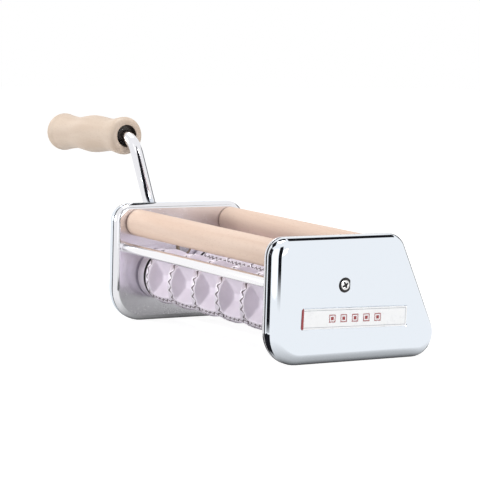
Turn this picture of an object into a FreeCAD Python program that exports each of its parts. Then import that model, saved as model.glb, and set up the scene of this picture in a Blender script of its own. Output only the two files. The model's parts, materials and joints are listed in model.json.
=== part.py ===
import FreeCAD, Part
import math
import os
import Sketcher

# Ravioli maker with a crank, in millimetres.
# X runs along the rollers, the gear end at +X and the crank end at -X.
# Y runs from the open front, where the mould roller shows, to the slanted rear. Z is up.
# The origin is on the ground, midway between the side plates and midway along their bases.

# Driving dimensions, each written once
SIZES = {
    # End plates and covers, seen from the end
    "plate_gap": 216,
    "base_width": 171,
    "top_width": 124,
    "height": 100,
    "front_lean": 2,
    "front_foot_radius": 28,
    "rear_foot_radius": 19,
    "top_corner_radius": 15,
    # Side plate, a shallow drawn pan with its open side outwards
    "plate_sheet": 1.2,
    "plate_rim_depth": 5,
    "plate_edge_round": 4.4,
    # Cover, a drawn shell whose joggled rim plugs into the pan
    "cover_sheet": 0.9,
    "cover_depth": 17.5,
    "cover_edge_round": 9.6,
    "cover_seam": 1.6,
    "cover_plug_depth": 1.6,
    "cover_fit": 0.25,
    # Centre plane of the two mould rollers, and the height of their axes
    "centre_y": -19.5,
    "mould_height": 40.3,
    # Mould rollers
    "mould_end_gap": 1.8,
    "mould_pitch": 35.6,
    "mould_columns": 5,
    "mould_rows": 4,
    "mould_nip": 0.5,
    "mould_crown": 1.9,
    "mould_end_radius": 21.4,
    "mould_ridge": 6.3,
    "pocket_floor_radius": 13,
    "pocket_floor_length": 16,
    "pocket_floor_width": 6,
    "mould_turn": 2,
    "mould_bore_radius": 6,
    # Roller shafts and their bushes
    "journal_radius": 5,
    "running_clearance": 0.05,
    "bush_wall": 2,
    "bush_collar": 1.4,
    "bush_flange": 1.5,
    "bush_flange_lip": 2,
    "shaft_reach": 13.4,
    "ring_width": 1,
    "ring_wall": 2,
    "ring_groove": 0.6,
    # Gears
    "gear_module": 1.5,
    "roller_teeth": 33,
    "pinion_teeth": 11,
    "pressure_angle": 25,
    "tooth_addendum": 0.8,
    "tooth_dedendum": 1.05,
    "backlash": 0.16,
    "gear_width": 6,
    "gear_side_gap": 0.5,
    # Wood rollers and their stub pins
    "wood_radius": 11.25,
    "wood_edge": 0.6,
    "wood_drop": 15.6,
    "wood_front_inset": 18.3,
    "wood_rear_inset": 18.344,
    "wood_end_gap": 1,
    "wood_pin_radius": 3,
    "wood_pin_depth": 14,
    "wood_pin_head_radius": 4.8,
    "wood_pin_head_height": 1.6,
    "wood_bore_spare": 2,
    # Tie rods and their nuts
    "rod_radius": 4.4,
    "rod_drop": 36.9,
    "rod_front_inset": 9,
    "rod_rear_inset": 17.08,
    "rod_thread_radius": 2.5,
    "nut_flats": 8,
    "nut_height": 3.2,
    "thread_spare": 0.8,
    # Cover screws and posts
    "screw_head_radius": 4.85,
    "screw_head_height": 2,
    "screw_crown": 0.8,
    "screw_shank_radius": 2,
    "screw_length": 12,
    "screw_slot_width": 1.2,
    "screw_slot_length": 5.6,
    "screw_slot_depth": 1.1,
    "screw_cup_radius": 5.9,
    "screw_cup_flat": 4.9,
    "screw_cup_depth": 1.5,
    "screw_dimple_radius": 10.5,
    "screw_dimple_depth": 0.3,
    "post_radius": 4,
    "upper_post_raise": 3.936,
    "lower_post_inset": 30.7,
    "lower_post_height": 22,
    # Plate for a label, in a recess of the cover
    "label_y": -8.5,
    "label_z": 36,
    "label_width": 102,
    "label_height": 16.2,
    "label_recess": 0.5,
    "label_sheet": 0.35,
    "label_margin": 0.3,
    # Pinion shaft and crank socket
    "socket_radius": 8.5,
    "socket_reach": 23,
    "socket_floor_sheet": 1.5,
    "socket_bush_wall": 1.6,
    "socket_flange": 1.5,
    "socket_flange_lip": 2.5,
    "socket_slot_depth": 6.5,
    "spigot_radius": 3.5,
    "spigot_end_gap": 0.5,
    # Crank
    "crank_rod_radius": 5.5,
    "crank_fit": 0.05,
    "crank_bend_radius": 15,
    "crank_plane": 40.5,
    "crank_arm": 96.4,
    "crank_lean": 18.4,
    "crank_droop": 3.3,
    "crank_leg": 100,
    "crank_pin_radius": 1.75,
    "crank_pin_fit": 0.2,
    "crank_pin_inset": 4,
    "crank_pin_shy": 0.3,
    # Grip, turned, on a sleeve
    "grip_start": 10,
    "grip_length": 123.5,
    "grip_face_radius": 12.3,
    "grip_collar_place": 4.5,
    "grip_collar_radius": 16.3,
    "grip_collar_arc": 5,
    "grip_waist_place": 24,
    "grip_waist_radius": 14,
    "grip_waist_arc": 60,
    "grip_belly_place": 56,
    "grip_belly_radius": 16.3,
    "grip_belly_arc": 220,
    "grip_neck_place": 86,
    "grip_neck_radius": 13.8,
    "grip_neck_arc": 120,
    "grip_bulge_place": 107,
    "grip_bulge_radius": 15.5,
    "grip_bulge_arc": 11,
    "grip_tip_height": 2.2,
    "grip_tip_radius": 11,
    "grip_tip_arc": 32,
    "grip_mouth_radius": 9.5,
    "grip_mouth_depth": 6.5,
    "sleeve_radius": 8,
    "sleeve_length": 78,
    "sleeve_clearance": 0.08,
    "grip_ring_gap": 0.3,
    "grip_ring_width": 1.2,
    "grip_ring_radius": 7.3,
    "grip_bore_spare": 4,
    # Coupling plate behind the slanted edges
    "coupling_sheet": 1.5,
    "coupling_offset": 6,
    "coupling_height": 42,
    "coupling_middle": 38,
    "coupling_ear": 28,
    "coupling_bend": 3,
    "coupling_hole_radius": 3.2,
    "coupling_hole_spacing": 150,
    "rivet_radius": 2,
    "rivet_head": 1.6,
    "rivet_head_lip": 1.8,
    "rivet_head_edge": 0.8,
    "rivet_inset": 16,
    "rivet_spacing": 22,
}

ENDS = {"gear_end": 1, "crank_end": -1}
ROWS = {"front": -1, "rear": 1}
CORNER_RADII = ["front_foot_radius", "rear_foot_radius", "top_corner_radius", "top_corner_radius"]

# Places worked out from the driving dimensions
HALF_GAP = "Sizes.plate_gap / 2"
ROLLER_OFFSET = "Sizes.gear_module * Sizes.roller_teeth / 2"
PINION_OFFSET = "Sizes.gear_module * (Sizes.roller_teeth + Sizes.pinion_teeth) / 2"
MOULD_TIP = f"({ROLLER_OFFSET} - Sizes.mould_nip / 2)"
AXIS_HEIGHT = f"Sizes.mould_height + sqrt(({PINION_OFFSET})^2 - ({ROLLER_OFFSET})^2)"
REAR_RUN = "(Sizes.base_width + Sizes.front_lean - Sizes.top_width)"
REAR_ANGLE = f"atan({REAR_RUN} / Sizes.height)"
FRONT_EDGE = "(-Sizes.base_width / 2)"
REAR_EDGE = f"(Sizes.base_width / 2 - {REAR_RUN} * {{}} / Sizes.height)"
WOOD_HEIGHT = "(Sizes.height - Sizes.wood_drop)"
WOOD_Y = {
    "front": f"{FRONT_EDGE} + Sizes.wood_front_inset",
    "rear": f"{REAR_EDGE.format(WOOD_HEIGHT)} - Sizes.wood_rear_inset",
}
ROD_HEIGHT = "(Sizes.height - Sizes.rod_drop)"
ROD_Y = {
    "front": f"{FRONT_EDGE} + Sizes.rod_front_inset",
    "rear": f"{REAR_EDGE.format(ROD_HEIGHT)} - Sizes.rod_rear_inset",
}
POST_PLACES = {
    "upper": ("Sizes.centre_y", f"(({AXIS_HEIGHT} + Sizes.height) / 2 + Sizes.upper_post_raise)"),
    "lower": (f"{REAR_EDGE.format('Sizes.lower_post_height')} - Sizes.lower_post_inset",
              "Sizes.lower_post_height"),
}
PLUG_INSET = "(Sizes.plate_sheet + Sizes.cover_fit)"
PLUG_START = "(Sizes.plate_rim_depth - Sizes.cover_plug_depth)"
SHELL_START = "(Sizes.plate_rim_depth + Sizes.cover_seam)"
COVER_INSIDE = "(Sizes.cover_depth - Sizes.cover_sheet)"
BUSH_RADIUS = "(Sizes.journal_radius + Sizes.bush_wall)"
BUSH_END = "(Sizes.plate_sheet + Sizes.bush_flange)"
GEAR_START = f"({BUSH_END} + Sizes.gear_side_gap)"
GEAR_END = f"({GEAR_START} + Sizes.gear_width)"
SOCKET_FLOOR = f"({GEAR_END} + Sizes.gear_side_gap + Sizes.socket_floor_sheet)"
SOCKET_BUSH_RADIUS = "(Sizes.socket_radius + Sizes.socket_bush_wall)"


def make_sheet():
    """Spreadsheet with one row and one alias for each driving dimension."""
    result = doc.addObject("Spreadsheet::Sheet", "Sizes")
    for row, (alias, number) in enumerate(SIZES.items(), start=1):
        result.set(f"A{row}", alias.replace("_", " "))
        result.set(f"B{row}", str(number))
        result.setAlias(f"B{row}", alias)
    doc.recompute()
    return result


def value(expression):
    """Number that an expression on the sheet gives."""
    result = sheet.evalExpression(str(expression))
    return float(getattr(result, "Value", result))


def new_body(label, x=None, y=None, z=None, rotation=None):
    """Empty body with its label and its place bound to the sheet."""
    body = doc.addObject("PartDesign::Body", label)
    body.Label = label
    if rotation is not None:
        body.Placement.Rotation = rotation
    for axis, place in (("x", x), ("y", y), ("z", z)):
        if place is not None:
            body.setExpression(f".Placement.Base.{axis}", place)
    pieces.append(body)
    return body


def new_sketch(body, name, role, height=None):
    """Sketch on one of the body's own origin planes, raised by height along its normal."""
    sketch = body.newObject("Sketcher::SketchObject", name)
    plane = [part for part in body.Origin.OriginFeatures if part.Role == role][0]
    sketch.AttachmentSupport = (plane, [""])
    sketch.MapMode = "FlatFace"
    if height is not None:
        sketch.setExpression(".AttachmentOffset.Base.z", height)
    return sketch


def bind(sketch, kind, parts, expression):
    """Dimension on a sketch, bound to an expression."""
    number = sketch.addConstraint(Sketcher.Constraint(kind, *parts, value(expression)))
    sketch.setExpression(f"Constraints[{number}]", expression)


def bind_point(sketch, edge, end, x, y):
    """Ties one point of an edge to the sketch's axes at x and y."""
    for kind, place, axis in (("DistanceX", x, -2), ("DistanceY", y, -1)):
        if abs(value(place)) < 1e-7:
            sketch.addConstraint(Sketcher.Constraint("PointOnObject", edge, end, axis))
        else:
            bind(sketch, kind, (-1, 1, edge, end), place)


def arc_through(start, finish, radius):
    """Short arc from start to finish, turning left where radius is positive."""
    chord = finish.sub(start)
    left = FreeCAD.Vector(-chord.y, chord.x, 0).normalize()
    rise = math.sqrt(radius ** 2 - (chord.Length / 2) ** 2)
    centre = start.add(chord.multiply(0.5)).add(left.multiply(math.copysign(rise, radius)))
    circle = Part.Circle(centre, FreeCAD.Vector(0, 0, 1), abs(radius))
    angles = [math.atan2(point.y - centre.y, point.x - centre.x) for point in (start, finish)]
    if radius < 0:
        angles.reverse()
    return Part.ArcOfCircle(circle, *angles)


def draw(sketch, corners, arcs=None, closed=True):
    """Outline through corners, where arcs gives an edge's signed radius by its number."""
    arcs = arcs or {}
    points = [FreeCAD.Vector(value(x), value(y), 0) for x, y in corners]
    count = len(points) if closed else len(points) - 1
    ends = []
    for edge in range(count):
        start = FreeCAD.Vector(points[edge])
        finish = FreeCAD.Vector(points[(edge + 1) % len(points)])
        if edge in arcs:
            sketch.addGeometry(arc_through(start, finish, value(arcs[edge])), False)
            ends.append((1, 2) if value(arcs[edge]) > 0 else (2, 1))
        else:
            sketch.addGeometry(Part.LineSegment(start, finish), False)
            ends.append((1, 2))
    for edge in range(count if closed else count - 1):
        after = (edge + 1) % count
        sketch.addConstraint(Sketcher.Constraint("Coincident", edge, ends[edge][1], after, ends[after][0]))
    for edge in range(count):
        bind_point(sketch, edge, ends[edge][0], *corners[edge])
    if not closed:
        bind_point(sketch, count - 1, ends[count - 1][1], *corners[-1])
    for edge, radius in arcs.items():
        bind(sketch, "Radius", (edge,), f"abs({radius})")


def draw_circles(sketch, circles):
    """Circles, each given as x, y and radius."""
    for edge, (x, y, radius) in enumerate(circles):
        centre = FreeCAD.Vector(value(x), value(y), 0)
        sketch.addGeometry(Part.Circle(centre, FreeCAD.Vector(0, 0, 1), value(radius)), False)
        bind_point(sketch, edge, 3, x, y)
        bind(sketch, "Radius", (edge,), radius)


def pad(body, sketch, length, reverse=False, middle=False):
    """Pad of a sketch, along its normal or against it."""
    feature = body.newObject("PartDesign::Pad", "Pad")
    feature.Profile = sketch
    feature.setExpression("Length", length)
    feature.Reversed = reverse
    feature.Midplane = middle
    doc.recompute()
    return feature


def pocket(body, sketch, length, reverse=False, middle=True):
    """Pocket of a sketch, by default to both sides of its plane."""
    before = body.Shape.Volume
    feature = body.newObject("PartDesign::Pocket", "Pocket")
    feature.Profile = sketch
    feature.setExpression("Length", length)
    feature.Midplane = middle
    feature.Reversed = reverse
    doc.recompute()
    if not body.Shape.Volume < before:
        raise RuntimeError(f"{body.Label}: the pocket {sketch.Label} cuts nothing")
    return feature


def fillet(body, radius, test):
    """Fillet on the edges of the body's last feature that pass a test."""
    base = body.Tip
    names = [f"Edge{number}" for number, edge in enumerate(base.Shape.Edges, 1) if test(edge)]
    if not names:
        raise RuntimeError(f"{body.Label}: no edge to round")
    feature = body.newObject("PartDesign::Fillet", "Fillet")
    feature.Base = (base, names)
    feature.setExpression("Radius", radius)
    doc.recompute()
    return feature


def turned(label, outline, arcs=None, x="0", y="0", z="0", end="gear_end"):
    """Piece turned about its own X axis, which points outwards at the end that it is at."""
    half_turn = 0 if ENDS[end] > 0 else 180
    body = new_body(label, x, y, z, FreeCAD.Rotation(FreeCAD.Vector(0, 0, 1), half_turn))
    sketch = new_sketch(body, "Profile", "XY_Plane")
    draw(sketch, outline, arcs)
    feature = body.newObject("PartDesign::Revolution", "Revolution")
    feature.Profile = sketch
    feature.ReferenceAxis = (sketch, ["H_Axis"])
    feature.Angle = 360
    doc.recompute()
    return body


def at_end(end):
    """X of a side plate's inner face at one end."""
    return HALF_GAP if ENDS[end] > 0 else f"-{HALF_GAP}"


def roller_y(row):
    """Y of a mould roller's axis."""
    return f"Sizes.centre_y {'+' if ROWS[row] > 0 else '-'} {ROLLER_OFFSET}"


def end_outline(inset):
    """Corners of the end plate's outline in Y and Z, moved inwards by inset."""
    front = "-Sizes.base_width / 2 - Sizes.front_lean * ({}) / Sizes.height + {}"
    rear = f"Sizes.base_width / 2 - {REAR_RUN} * ({{}}) / Sizes.height - {{}}"
    front_slip = f"{inset} * sqrt(1 + (Sizes.front_lean / Sizes.height)^2)"
    rear_slip = f"{inset} * sqrt(1 + ({REAR_RUN} / Sizes.height)^2)"
    low = inset
    high = f"(Sizes.height - {inset})"
    return [
        (front.format(low, front_slip), low),
        (rear.format(low, rear_slip), low),
        (rear.format(high, rear_slip), high),
        (front.format(high, front_slip), high),
    ]


def draw_end(sketch, inset):
    """Rounded outline of the end plate, moved inwards by inset."""
    corners = end_outline(inset)
    radii = [f"(Sizes.{name} - {inset})" for name in CORNER_RADII]
    sharp = [FreeCAD.Vector(value(y), value(z), 0) for y, z in corners]
    count = len(sharp)
    first = sketch.GeometryCount
    arcs = []
    for number, corner in enumerate(sharp):
        back = sharp[number - 1].sub(corner).normalize()
        ahead = sharp[(number + 1) % count].sub(corner).normalize()
        half = back.getAngle(ahead) / 2
        radius = value(radii[number])
        start = corner.add(FreeCAD.Vector(back).multiply(radius / math.tan(half)))
        finish = corner.add(FreeCAD.Vector(ahead).multiply(radius / math.tan(half)))
        arcs.append((start, finish, arc_through(start, finish, radius)))
    for number in range(count):
        line = Part.LineSegment(arcs[number][1], arcs[(number + 1) % count][0])
        sketch.addGeometry(line, False)
    for start, finish, arc in arcs:
        sketch.addGeometry(arc, False)
    for corner in sharp:
        sketch.addGeometry(Part.Point(corner), True)
    for number in range(count):
        line = first + number
        line_before = first + (number - 1) % count
        arc = first + count + number
        arc_after = first + count + (number + 1) % count
        point = first + 2 * count + number
        sketch.addConstraint(Sketcher.Constraint("Tangent", line, 2, arc_after, 1))
        sketch.addConstraint(Sketcher.Constraint("Tangent", arc, 2, line, 1))
        bind_point(sketch, point, 1, *corners[number])
        sketch.addConstraint(Sketcher.Constraint("PointOnObject", point, 1, line))
        sketch.addConstraint(Sketcher.Constraint("PointOnObject", point, 1, line_before))
        bind(sketch, "Radius", (arc,), radii[number])


def flat_at(feature, place):
    """Name of the feature's largest face that is square to X at a place."""
    faces = enumerate(feature.Shape.Faces, 1)
    found = [(face.Area, f"Face{n}") for n, face in faces
             if face.BoundBox.XLength < 1e-6 and abs(face.BoundBox.XMin - place) < 1e-6]
    return max(found)[1]


def hollow(body, open_place, sheet_size):
    """Turns the body into a shell of even sheet, open at one place along X."""
    base = body.Tip
    feature = body.newObject("PartDesign::Thickness", "Sheet")
    feature.Base = (base, [flat_at(base, open_place)])
    feature.setExpression("Value", sheet_size)
    feature.Reversed = True
    feature.Mode = "Skin"
    feature.Join = "Arc"
    doc.recompute()
    return feature


def side_plate(end):
    """Drawn pan with a flat inner face and the holes for all that it carries."""
    outward = ENDS[end]
    body = new_body(f"side_plate_{end}", x=at_end(end))
    sketch = new_sketch(body, "Outline", "YZ_Plane")
    draw_end(sketch, "0")
    pad(body, sketch, "Sizes.plate_rim_depth", reverse=outward < 0)
    fillet(body, "Sizes.plate_edge_round",
           lambda edge: edge.BoundBox.XLength < 1e-6 and abs(edge.BoundBox.XMin) < 1e-6)
    hollow(body, outward * value("Sizes.plate_rim_depth"), "Sizes.plate_sheet")
    holes = [(roller_y(row), "Sizes.mould_height", BUSH_RADIUS) for row in ROWS]
    holes += [(WOOD_Y[row], WOOD_HEIGHT, "Sizes.wood_pin_radius") for row in ROWS]
    holes += [(ROD_Y[row], ROD_HEIGHT, "Sizes.rod_thread_radius") for row in ROWS]
    holes += [(*rivet_place(side), "Sizes.rivet_radius") for side in (-1, 1)]
    if end == "crank_end":
        holes.append(("Sizes.centre_y", AXIS_HEIGHT, BUSH_RADIUS))
    sketch = new_sketch(body, "Holes", "YZ_Plane")
    draw_circles(sketch, holes)
    pocket(body, sketch, "3 * Sizes.plate_sheet")


def cover(end):
    """Drawn shell over one end, with a joggled rim inside the side plate's rim."""
    outward = ENDS[end]
    body = new_body(f"cover_{end}", x=at_end(end))
    sign = "" if outward > 0 else "-"
    sketch = new_sketch(body, "Outline", "YZ_Plane", f"{sign}{SHELL_START}")
    draw_end(sketch, "0")
    pad(body, sketch, f"Sizes.cover_depth - {SHELL_START}", reverse=outward < 0)
    face_place = outward * value("Sizes.cover_depth")
    fillet(body, "Sizes.cover_edge_round",
           lambda edge: edge.BoundBox.XLength < 1e-6 and abs(edge.BoundBox.XMin - face_place) < 1e-6)
    hollow(body, outward * value(SHELL_START), "Sizes.cover_sheet")
    inner = f"({PLUG_INSET} + Sizes.cover_sheet)"
    rings = [
        ("Shoulder", "(Sizes.cover_sheet / 2)", SHELL_START, "Sizes.cover_sheet"),
        ("Plug", PLUG_INSET, PLUG_START, f"{SHELL_START} - {PLUG_START} + Sizes.cover_sheet"),
    ]
    for name, outer, start, length in rings:
        sketch = new_sketch(body, name, "YZ_Plane", f"{sign}{start}")
        draw_end(sketch, outer)
        draw_end(sketch, inner)
        pad(body, sketch, length, reverse=outward < 0)
    return body


def cut_cover_gear_end(body):
    """Pressed dimple, D-shaped screw cup, screw hole and label recess."""
    face = "Sizes.cover_depth"
    screw = ("Sizes.centre_y", AXIS_HEIGHT)
    sketch = new_sketch(body, "Cup", "YZ_Plane", face)
    draw_circles(sketch, [(*screw, "Sizes.screw_cup_radius + Sizes.cover_sheet")])
    pad(body, sketch, "Sizes.screw_cup_depth + Sizes.cover_sheet", reverse=True)
    sketch = new_sketch(body, "Dimple", "YZ_Plane", face)
    draw_circles(sketch, [(*screw, "Sizes.screw_dimple_radius")])
    pocket(body, sketch, "2 * Sizes.screw_dimple_depth")
    sketch = new_sketch(body, "CupHollow", "YZ_Plane", face)
    half_chord = "sqrt(Sizes.screw_cup_radius^2 - Sizes.screw_cup_flat^2)"
    middle = f"({AXIS_HEIGHT})"
    draw(sketch, [
        ("Sizes.centre_y + Sizes.screw_cup_flat", f"{middle} + {half_chord}"),
        ("Sizes.centre_y", f"{middle} + Sizes.screw_cup_radius"),
        ("Sizes.centre_y - Sizes.screw_cup_radius", middle),
        ("Sizes.centre_y", f"{middle} - Sizes.screw_cup_radius"),
        ("Sizes.centre_y + Sizes.screw_cup_flat", f"{middle} - {half_chord}"),
    ], {edge: "Sizes.screw_cup_radius" for edge in range(4)})
    pocket(body, sketch, "2 * Sizes.screw_cup_depth")
    sketch = new_sketch(body, "ScrewHole", "YZ_Plane", face)
    draw_circles(sketch, [(*screw, "Sizes.screw_shank_radius")])
    pocket(body, sketch, "4 * (Sizes.screw_cup_depth + Sizes.cover_sheet)")
    sketch = new_sketch(body, "LabelRecess", "YZ_Plane", face)
    draw(sketch, label_corners("Sizes.label_margin"))
    pocket(body, sketch, "2 * Sizes.label_recess")


def cut_cover_crank_end(body):
    """Hole for the socket's bush and two screw holes."""
    sketch = new_sketch(body, "Holes", "YZ_Plane", "-Sizes.cover_depth")
    circles = [("Sizes.centre_y", AXIS_HEIGHT, SOCKET_BUSH_RADIUS)]
    for name in ("upper", "lower"):
        circles.append((*POST_PLACES[name], "Sizes.screw_shank_radius"))
    draw_circles(sketch, circles)
    pocket(body, sketch, "4 * Sizes.cover_sheet")


def label_corners(margin):
    """Corners of the label in Y and Z, with a margin all round."""
    half_width = f"(Sizes.label_width / 2 + {margin})"
    half_height = f"(Sizes.label_height / 2 + {margin})"
    signs = [(-1, -1), (1, -1), (1, 1), (-1, 1)]
    return [(f"Sizes.label_y + {a} * {half_width}", f"Sizes.label_z + {b} * {half_height}")
            for a, b in signs]


def label_plate():
    """Plain plate in the gear end cover's recess."""
    body = new_body("label_plate", x=at_end("gear_end"))
    sketch = new_sketch(body, "Outline", "YZ_Plane", "Sizes.cover_depth - Sizes.label_recess")
    draw(sketch, label_corners("0"))
    pad(body, sketch, "Sizes.label_sheet")


def cover_post(label, end, y, z, seat):
    """Turned post between a side plate and its cover, tapped for the cover's screw."""
    length = f"({COVER_INSIDE} - {seat})"
    turned(label, [
        ("Sizes.plate_sheet", "0"),
        (length, "0"),
        (length, "Sizes.post_radius"),
        ("Sizes.plate_sheet", "Sizes.post_radius"),
    ], x=at_end(end), y=y, z=z, end=end)
    body = pieces[-1]
    sketch = new_sketch(body, "Tapping", "YZ_Plane", length)
    draw_circles(sketch, [("0", "0", "Sizes.screw_shank_radius")])
    pocket(body, sketch, "2 * (Sizes.screw_length - Sizes.cover_sheet + Sizes.thread_spare)")


def cover_screw(label, end, y, z, seat):
    """Round-headed screw with a cross recess, seated at a place along its own axis."""
    crown = "Sizes.screw_crown"
    top = f"({seat} + Sizes.screw_head_height)"
    bottom = f"({seat} - Sizes.screw_length)"
    turned(label, [
        (bottom, "0"),
        (top, "0"),
        (f"{top} - {crown}", "Sizes.screw_head_radius"),
        (seat, "Sizes.screw_head_radius"),
        (seat, "Sizes.screw_shank_radius"),
        (bottom, "Sizes.screw_shank_radius"),
    ], {1: f"(Sizes.screw_head_radius^2 + {crown}^2) / (2 * {crown})"}, x=at_end(end), y=y, z=z, end=end)
    body = pieces[-1]
    long_half = "Sizes.screw_slot_length / 2"
    short_half = "Sizes.screw_slot_width / 2"
    for name, a, b in (("SlotAcross", long_half, short_half), ("SlotUp", short_half, long_half)):
        sketch = new_sketch(body, name, "YZ_Plane", top)
        draw(sketch, [(f"-{a}", f"-{b}"), (a, f"-{b}"), (a, b), (f"-{a}", b)])
        pocket(body, sketch, "2 * Sizes.screw_slot_depth")


def bush(label, end, y, z):
    """Flanged bush through a side plate, with a collar that keeps the roller off the plate."""
    inner = "Sizes.journal_radius + Sizes.running_clearance"
    flange = f"{BUSH_RADIUS} + Sizes.bush_flange_lip"
    turned(label, [
        ("-Sizes.bush_collar", inner),
        (BUSH_END, inner),
        (BUSH_END, flange),
        ("Sizes.plate_sheet", flange),
        ("Sizes.plate_sheet", BUSH_RADIUS),
        ("-Sizes.bush_collar", BUSH_RADIUS),
    ], x=at_end(end), y=y, z=z, end=end)


def socket_bush():
    """Flanged bush in the crank end cover, round the crank's socket."""
    inner = "Sizes.socket_radius + Sizes.running_clearance"
    outer_face = "Sizes.cover_depth + Sizes.socket_flange"
    flange = f"{SOCKET_BUSH_RADIUS} + Sizes.socket_flange_lip"
    turned("socket_bush", [
        (f"{COVER_INSIDE} - Sizes.cover_sheet", inner),
        (outer_face, inner),
        (outer_face, flange),
        ("Sizes.cover_depth", flange),
        ("Sizes.cover_depth", SOCKET_BUSH_RADIUS),
        (f"{COVER_INSIDE} - Sizes.cover_sheet", SOCKET_BUSH_RADIUS),
    ], x=at_end("crank_end"), y="Sizes.centre_y", z=AXIS_HEIGHT, end="crank_end")


def mould_outline():
    """Half profile of a mould roller, with one crowned barrel for each column."""
    half_length = "(Sizes.plate_gap / 2 - Sizes.mould_end_gap)"
    groove = f"({MOULD_TIP} - Sizes.mould_crown)"
    columns = int(value("Sizes.mould_columns"))
    corners = [
        (f"-{half_length}", "Sizes.mould_bore_radius"),
        (f"-{half_length}", "Sizes.mould_end_radius"),
        ("-Sizes.mould_columns * Sizes.mould_pitch / 2", "Sizes.mould_end_radius"),
    ]
    for column in range(columns + 1):
        corners.append((f"({column} - Sizes.mould_columns / 2) * Sizes.mould_pitch", groove))
    corners += [
        ("Sizes.mould_columns * Sizes.mould_pitch / 2", "Sizes.mould_end_radius"),
        (half_length, "Sizes.mould_end_radius"),
        (half_length, "Sizes.mould_bore_radius"),
    ]
    crown_radius = "-(Sizes.mould_pitch^2 / (8 * Sizes.mould_crown) + Sizes.mould_crown / 2)"
    first_arc = 3
    return corners, {first_arc + column: crown_radius for column in range(columns)}


def mould_roller(row):
    """Cast roller with rows of square pockets round it."""
    corners, arcs = mould_outline()
    body = turned(f"mould_roller_{row}", corners, arcs, y=roller_y(row), z="Sizes.mould_height")
    turn = ROWS[row] * value("Sizes.mould_turn")
    body.Placement.Rotation = FreeCAD.Rotation(FreeCAD.Vector(1, 0, 0), turn)
    # One pocket, its four walls sloping from the ridges down to a small flat floor
    floor_x = "(Sizes.pocket_floor_length / 2)"
    floor_y = "(Sizes.pocket_floor_width / 2)"
    rim_x = "((Sizes.mould_pitch - Sizes.mould_ridge) / 2)"
    rim_x_height = f"({MOULD_TIP} - Sizes.mould_crown * (2 * {rim_x} / Sizes.mould_pitch)^2)"
    rim_turn = f"(180 / Sizes.mould_rows - 90 * Sizes.mould_ridge / (pi * {MOULD_TIP}))"
    rim_y = f"({MOULD_TIP} * sin({rim_turn} * 1 deg))"
    rim_y_height = f"({MOULD_TIP} * cos({rim_turn} * 1 deg))"
    top = f"({MOULD_TIP} + Sizes.mould_crown)"
    rise = f"({top} - Sizes.pocket_floor_radius)"
    slope_x = f"(({rim_x} - {floor_x}) / ({rim_x_height} - Sizes.pocket_floor_radius))"
    slope_y = f"(({rim_y} - {floor_y}) / ({rim_y_height} - Sizes.pocket_floor_radius))"
    top_x = f"({floor_x} + {slope_x} * {rise})"
    top_y = f"({floor_y} + {slope_y} * {rise})"
    middle = "((1 - Sizes.mould_columns) / 2 * Sizes.mould_pitch)"
    sections = []
    for name, place, a, b in (("Floor", "Sizes.pocket_floor_radius", floor_x, floor_y),
                              ("Mouth", top, top_x, top_y)):
        sketch = new_sketch(body, name, "XY_Plane", place)
        draw(sketch, [(f"{middle} - {a}", f"-{b}"), (f"{middle} + {a}", f"-{b}"),
                      (f"{middle} + {a}", b), (f"{middle} - {a}", b)])
        sections.append(sketch)
    loft = body.newObject("PartDesign::SubtractiveLoft", "Pocket")
    loft.Profile = sections[0]
    loft.Sections = [sections[1]]
    loft.Ruled = True
    doc.recompute()
    around = body.newObject("PartDesign::PolarPattern", "Around")
    around.Axis = (body_axis(body, "X_Axis"), [""])
    around.Angle = 360
    around.setExpression("Occurrences", "Sizes.mould_rows")
    along = body.newObject("PartDesign::LinearPattern", "Along")
    along.Direction = (body_axis(body, "X_Axis"), [""])
    along.setExpression("Length", "(Sizes.mould_columns - 1) * Sizes.mould_pitch")
    along.setExpression("Occurrences", "Sizes.mould_columns")
    pattern = body.newObject("PartDesign::MultiTransform", "Pockets")
    pattern.Originals = [loft]
    pattern.Transformations = [around, along]
    body.Tip = pattern
    doc.recompute()


def body_axis(body, role):
    """One of the body's own axes."""
    return [part for part in body.Origin.OriginFeatures if part.Role == role][0]


def roller_shaft(row):
    """Steel shaft pressed into a mould roller, with a journal and a ring groove at each end."""
    half_gap = "Sizes.plate_gap / 2"
    shoulder = f"({half_gap} - Sizes.mould_end_gap)"
    tip = f"({half_gap} + Sizes.shaft_reach)"
    ring_near = f"({half_gap} + {GEAR_END})"
    ring_far = f"({half_gap} + {GEAR_END} + Sizes.ring_width)"
    neck = "(Sizes.journal_radius - Sizes.ring_groove)"
    steps = [
        (tip, "Sizes.journal_radius"),
        (ring_far, "Sizes.journal_radius"),
        (ring_far, neck),
        (ring_near, neck),
        (ring_near, "Sizes.journal_radius"),
        (shoulder, "Sizes.journal_radius"),
        (shoulder, "Sizes.mould_bore_radius"),
    ]
    outline = [(f"-{tip}", "0"), (tip, "0")] + steps
    outline += [(f"-{x}", radius) for x, radius in reversed(steps)]
    turned(f"roller_shaft_{row}", outline, y=roller_y(row), z="Sizes.mould_height")


def shaft_ring(row, end):
    """Retaining ring in a groove of a roller shaft, outside the gear."""
    inner = "Sizes.journal_radius - Sizes.ring_groove"
    outer = "Sizes.journal_radius + Sizes.ring_wall"
    turned(f"shaft_ring_{row}_{end}", [
        (GEAR_END, inner),
        (f"{GEAR_END} + Sizes.ring_width", inner),
        (f"{GEAR_END} + Sizes.ring_width", outer),
        (GEAR_END, outer),
    ], x=at_end(end), y=roller_y(row), z="Sizes.mould_height", end=end)


def spacer_tube(row):
    """Tube in place of a gear, on the rear shaft's crank end."""
    inner = "Sizes.journal_radius"
    outer = "Sizes.journal_radius + Sizes.ring_wall"
    turned(f"shaft_spacer_{row}", [
        (GEAR_START, inner),
        (GEAR_END, inner),
        (GEAR_END, outer),
        (GEAR_START, outer),
    ], x=at_end("crank_end"), y=roller_y(row), z="Sizes.mould_height", end="crank_end")


def involute(angle):
    """Involute function of an angle in radians."""
    return math.tan(angle) - angle


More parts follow.
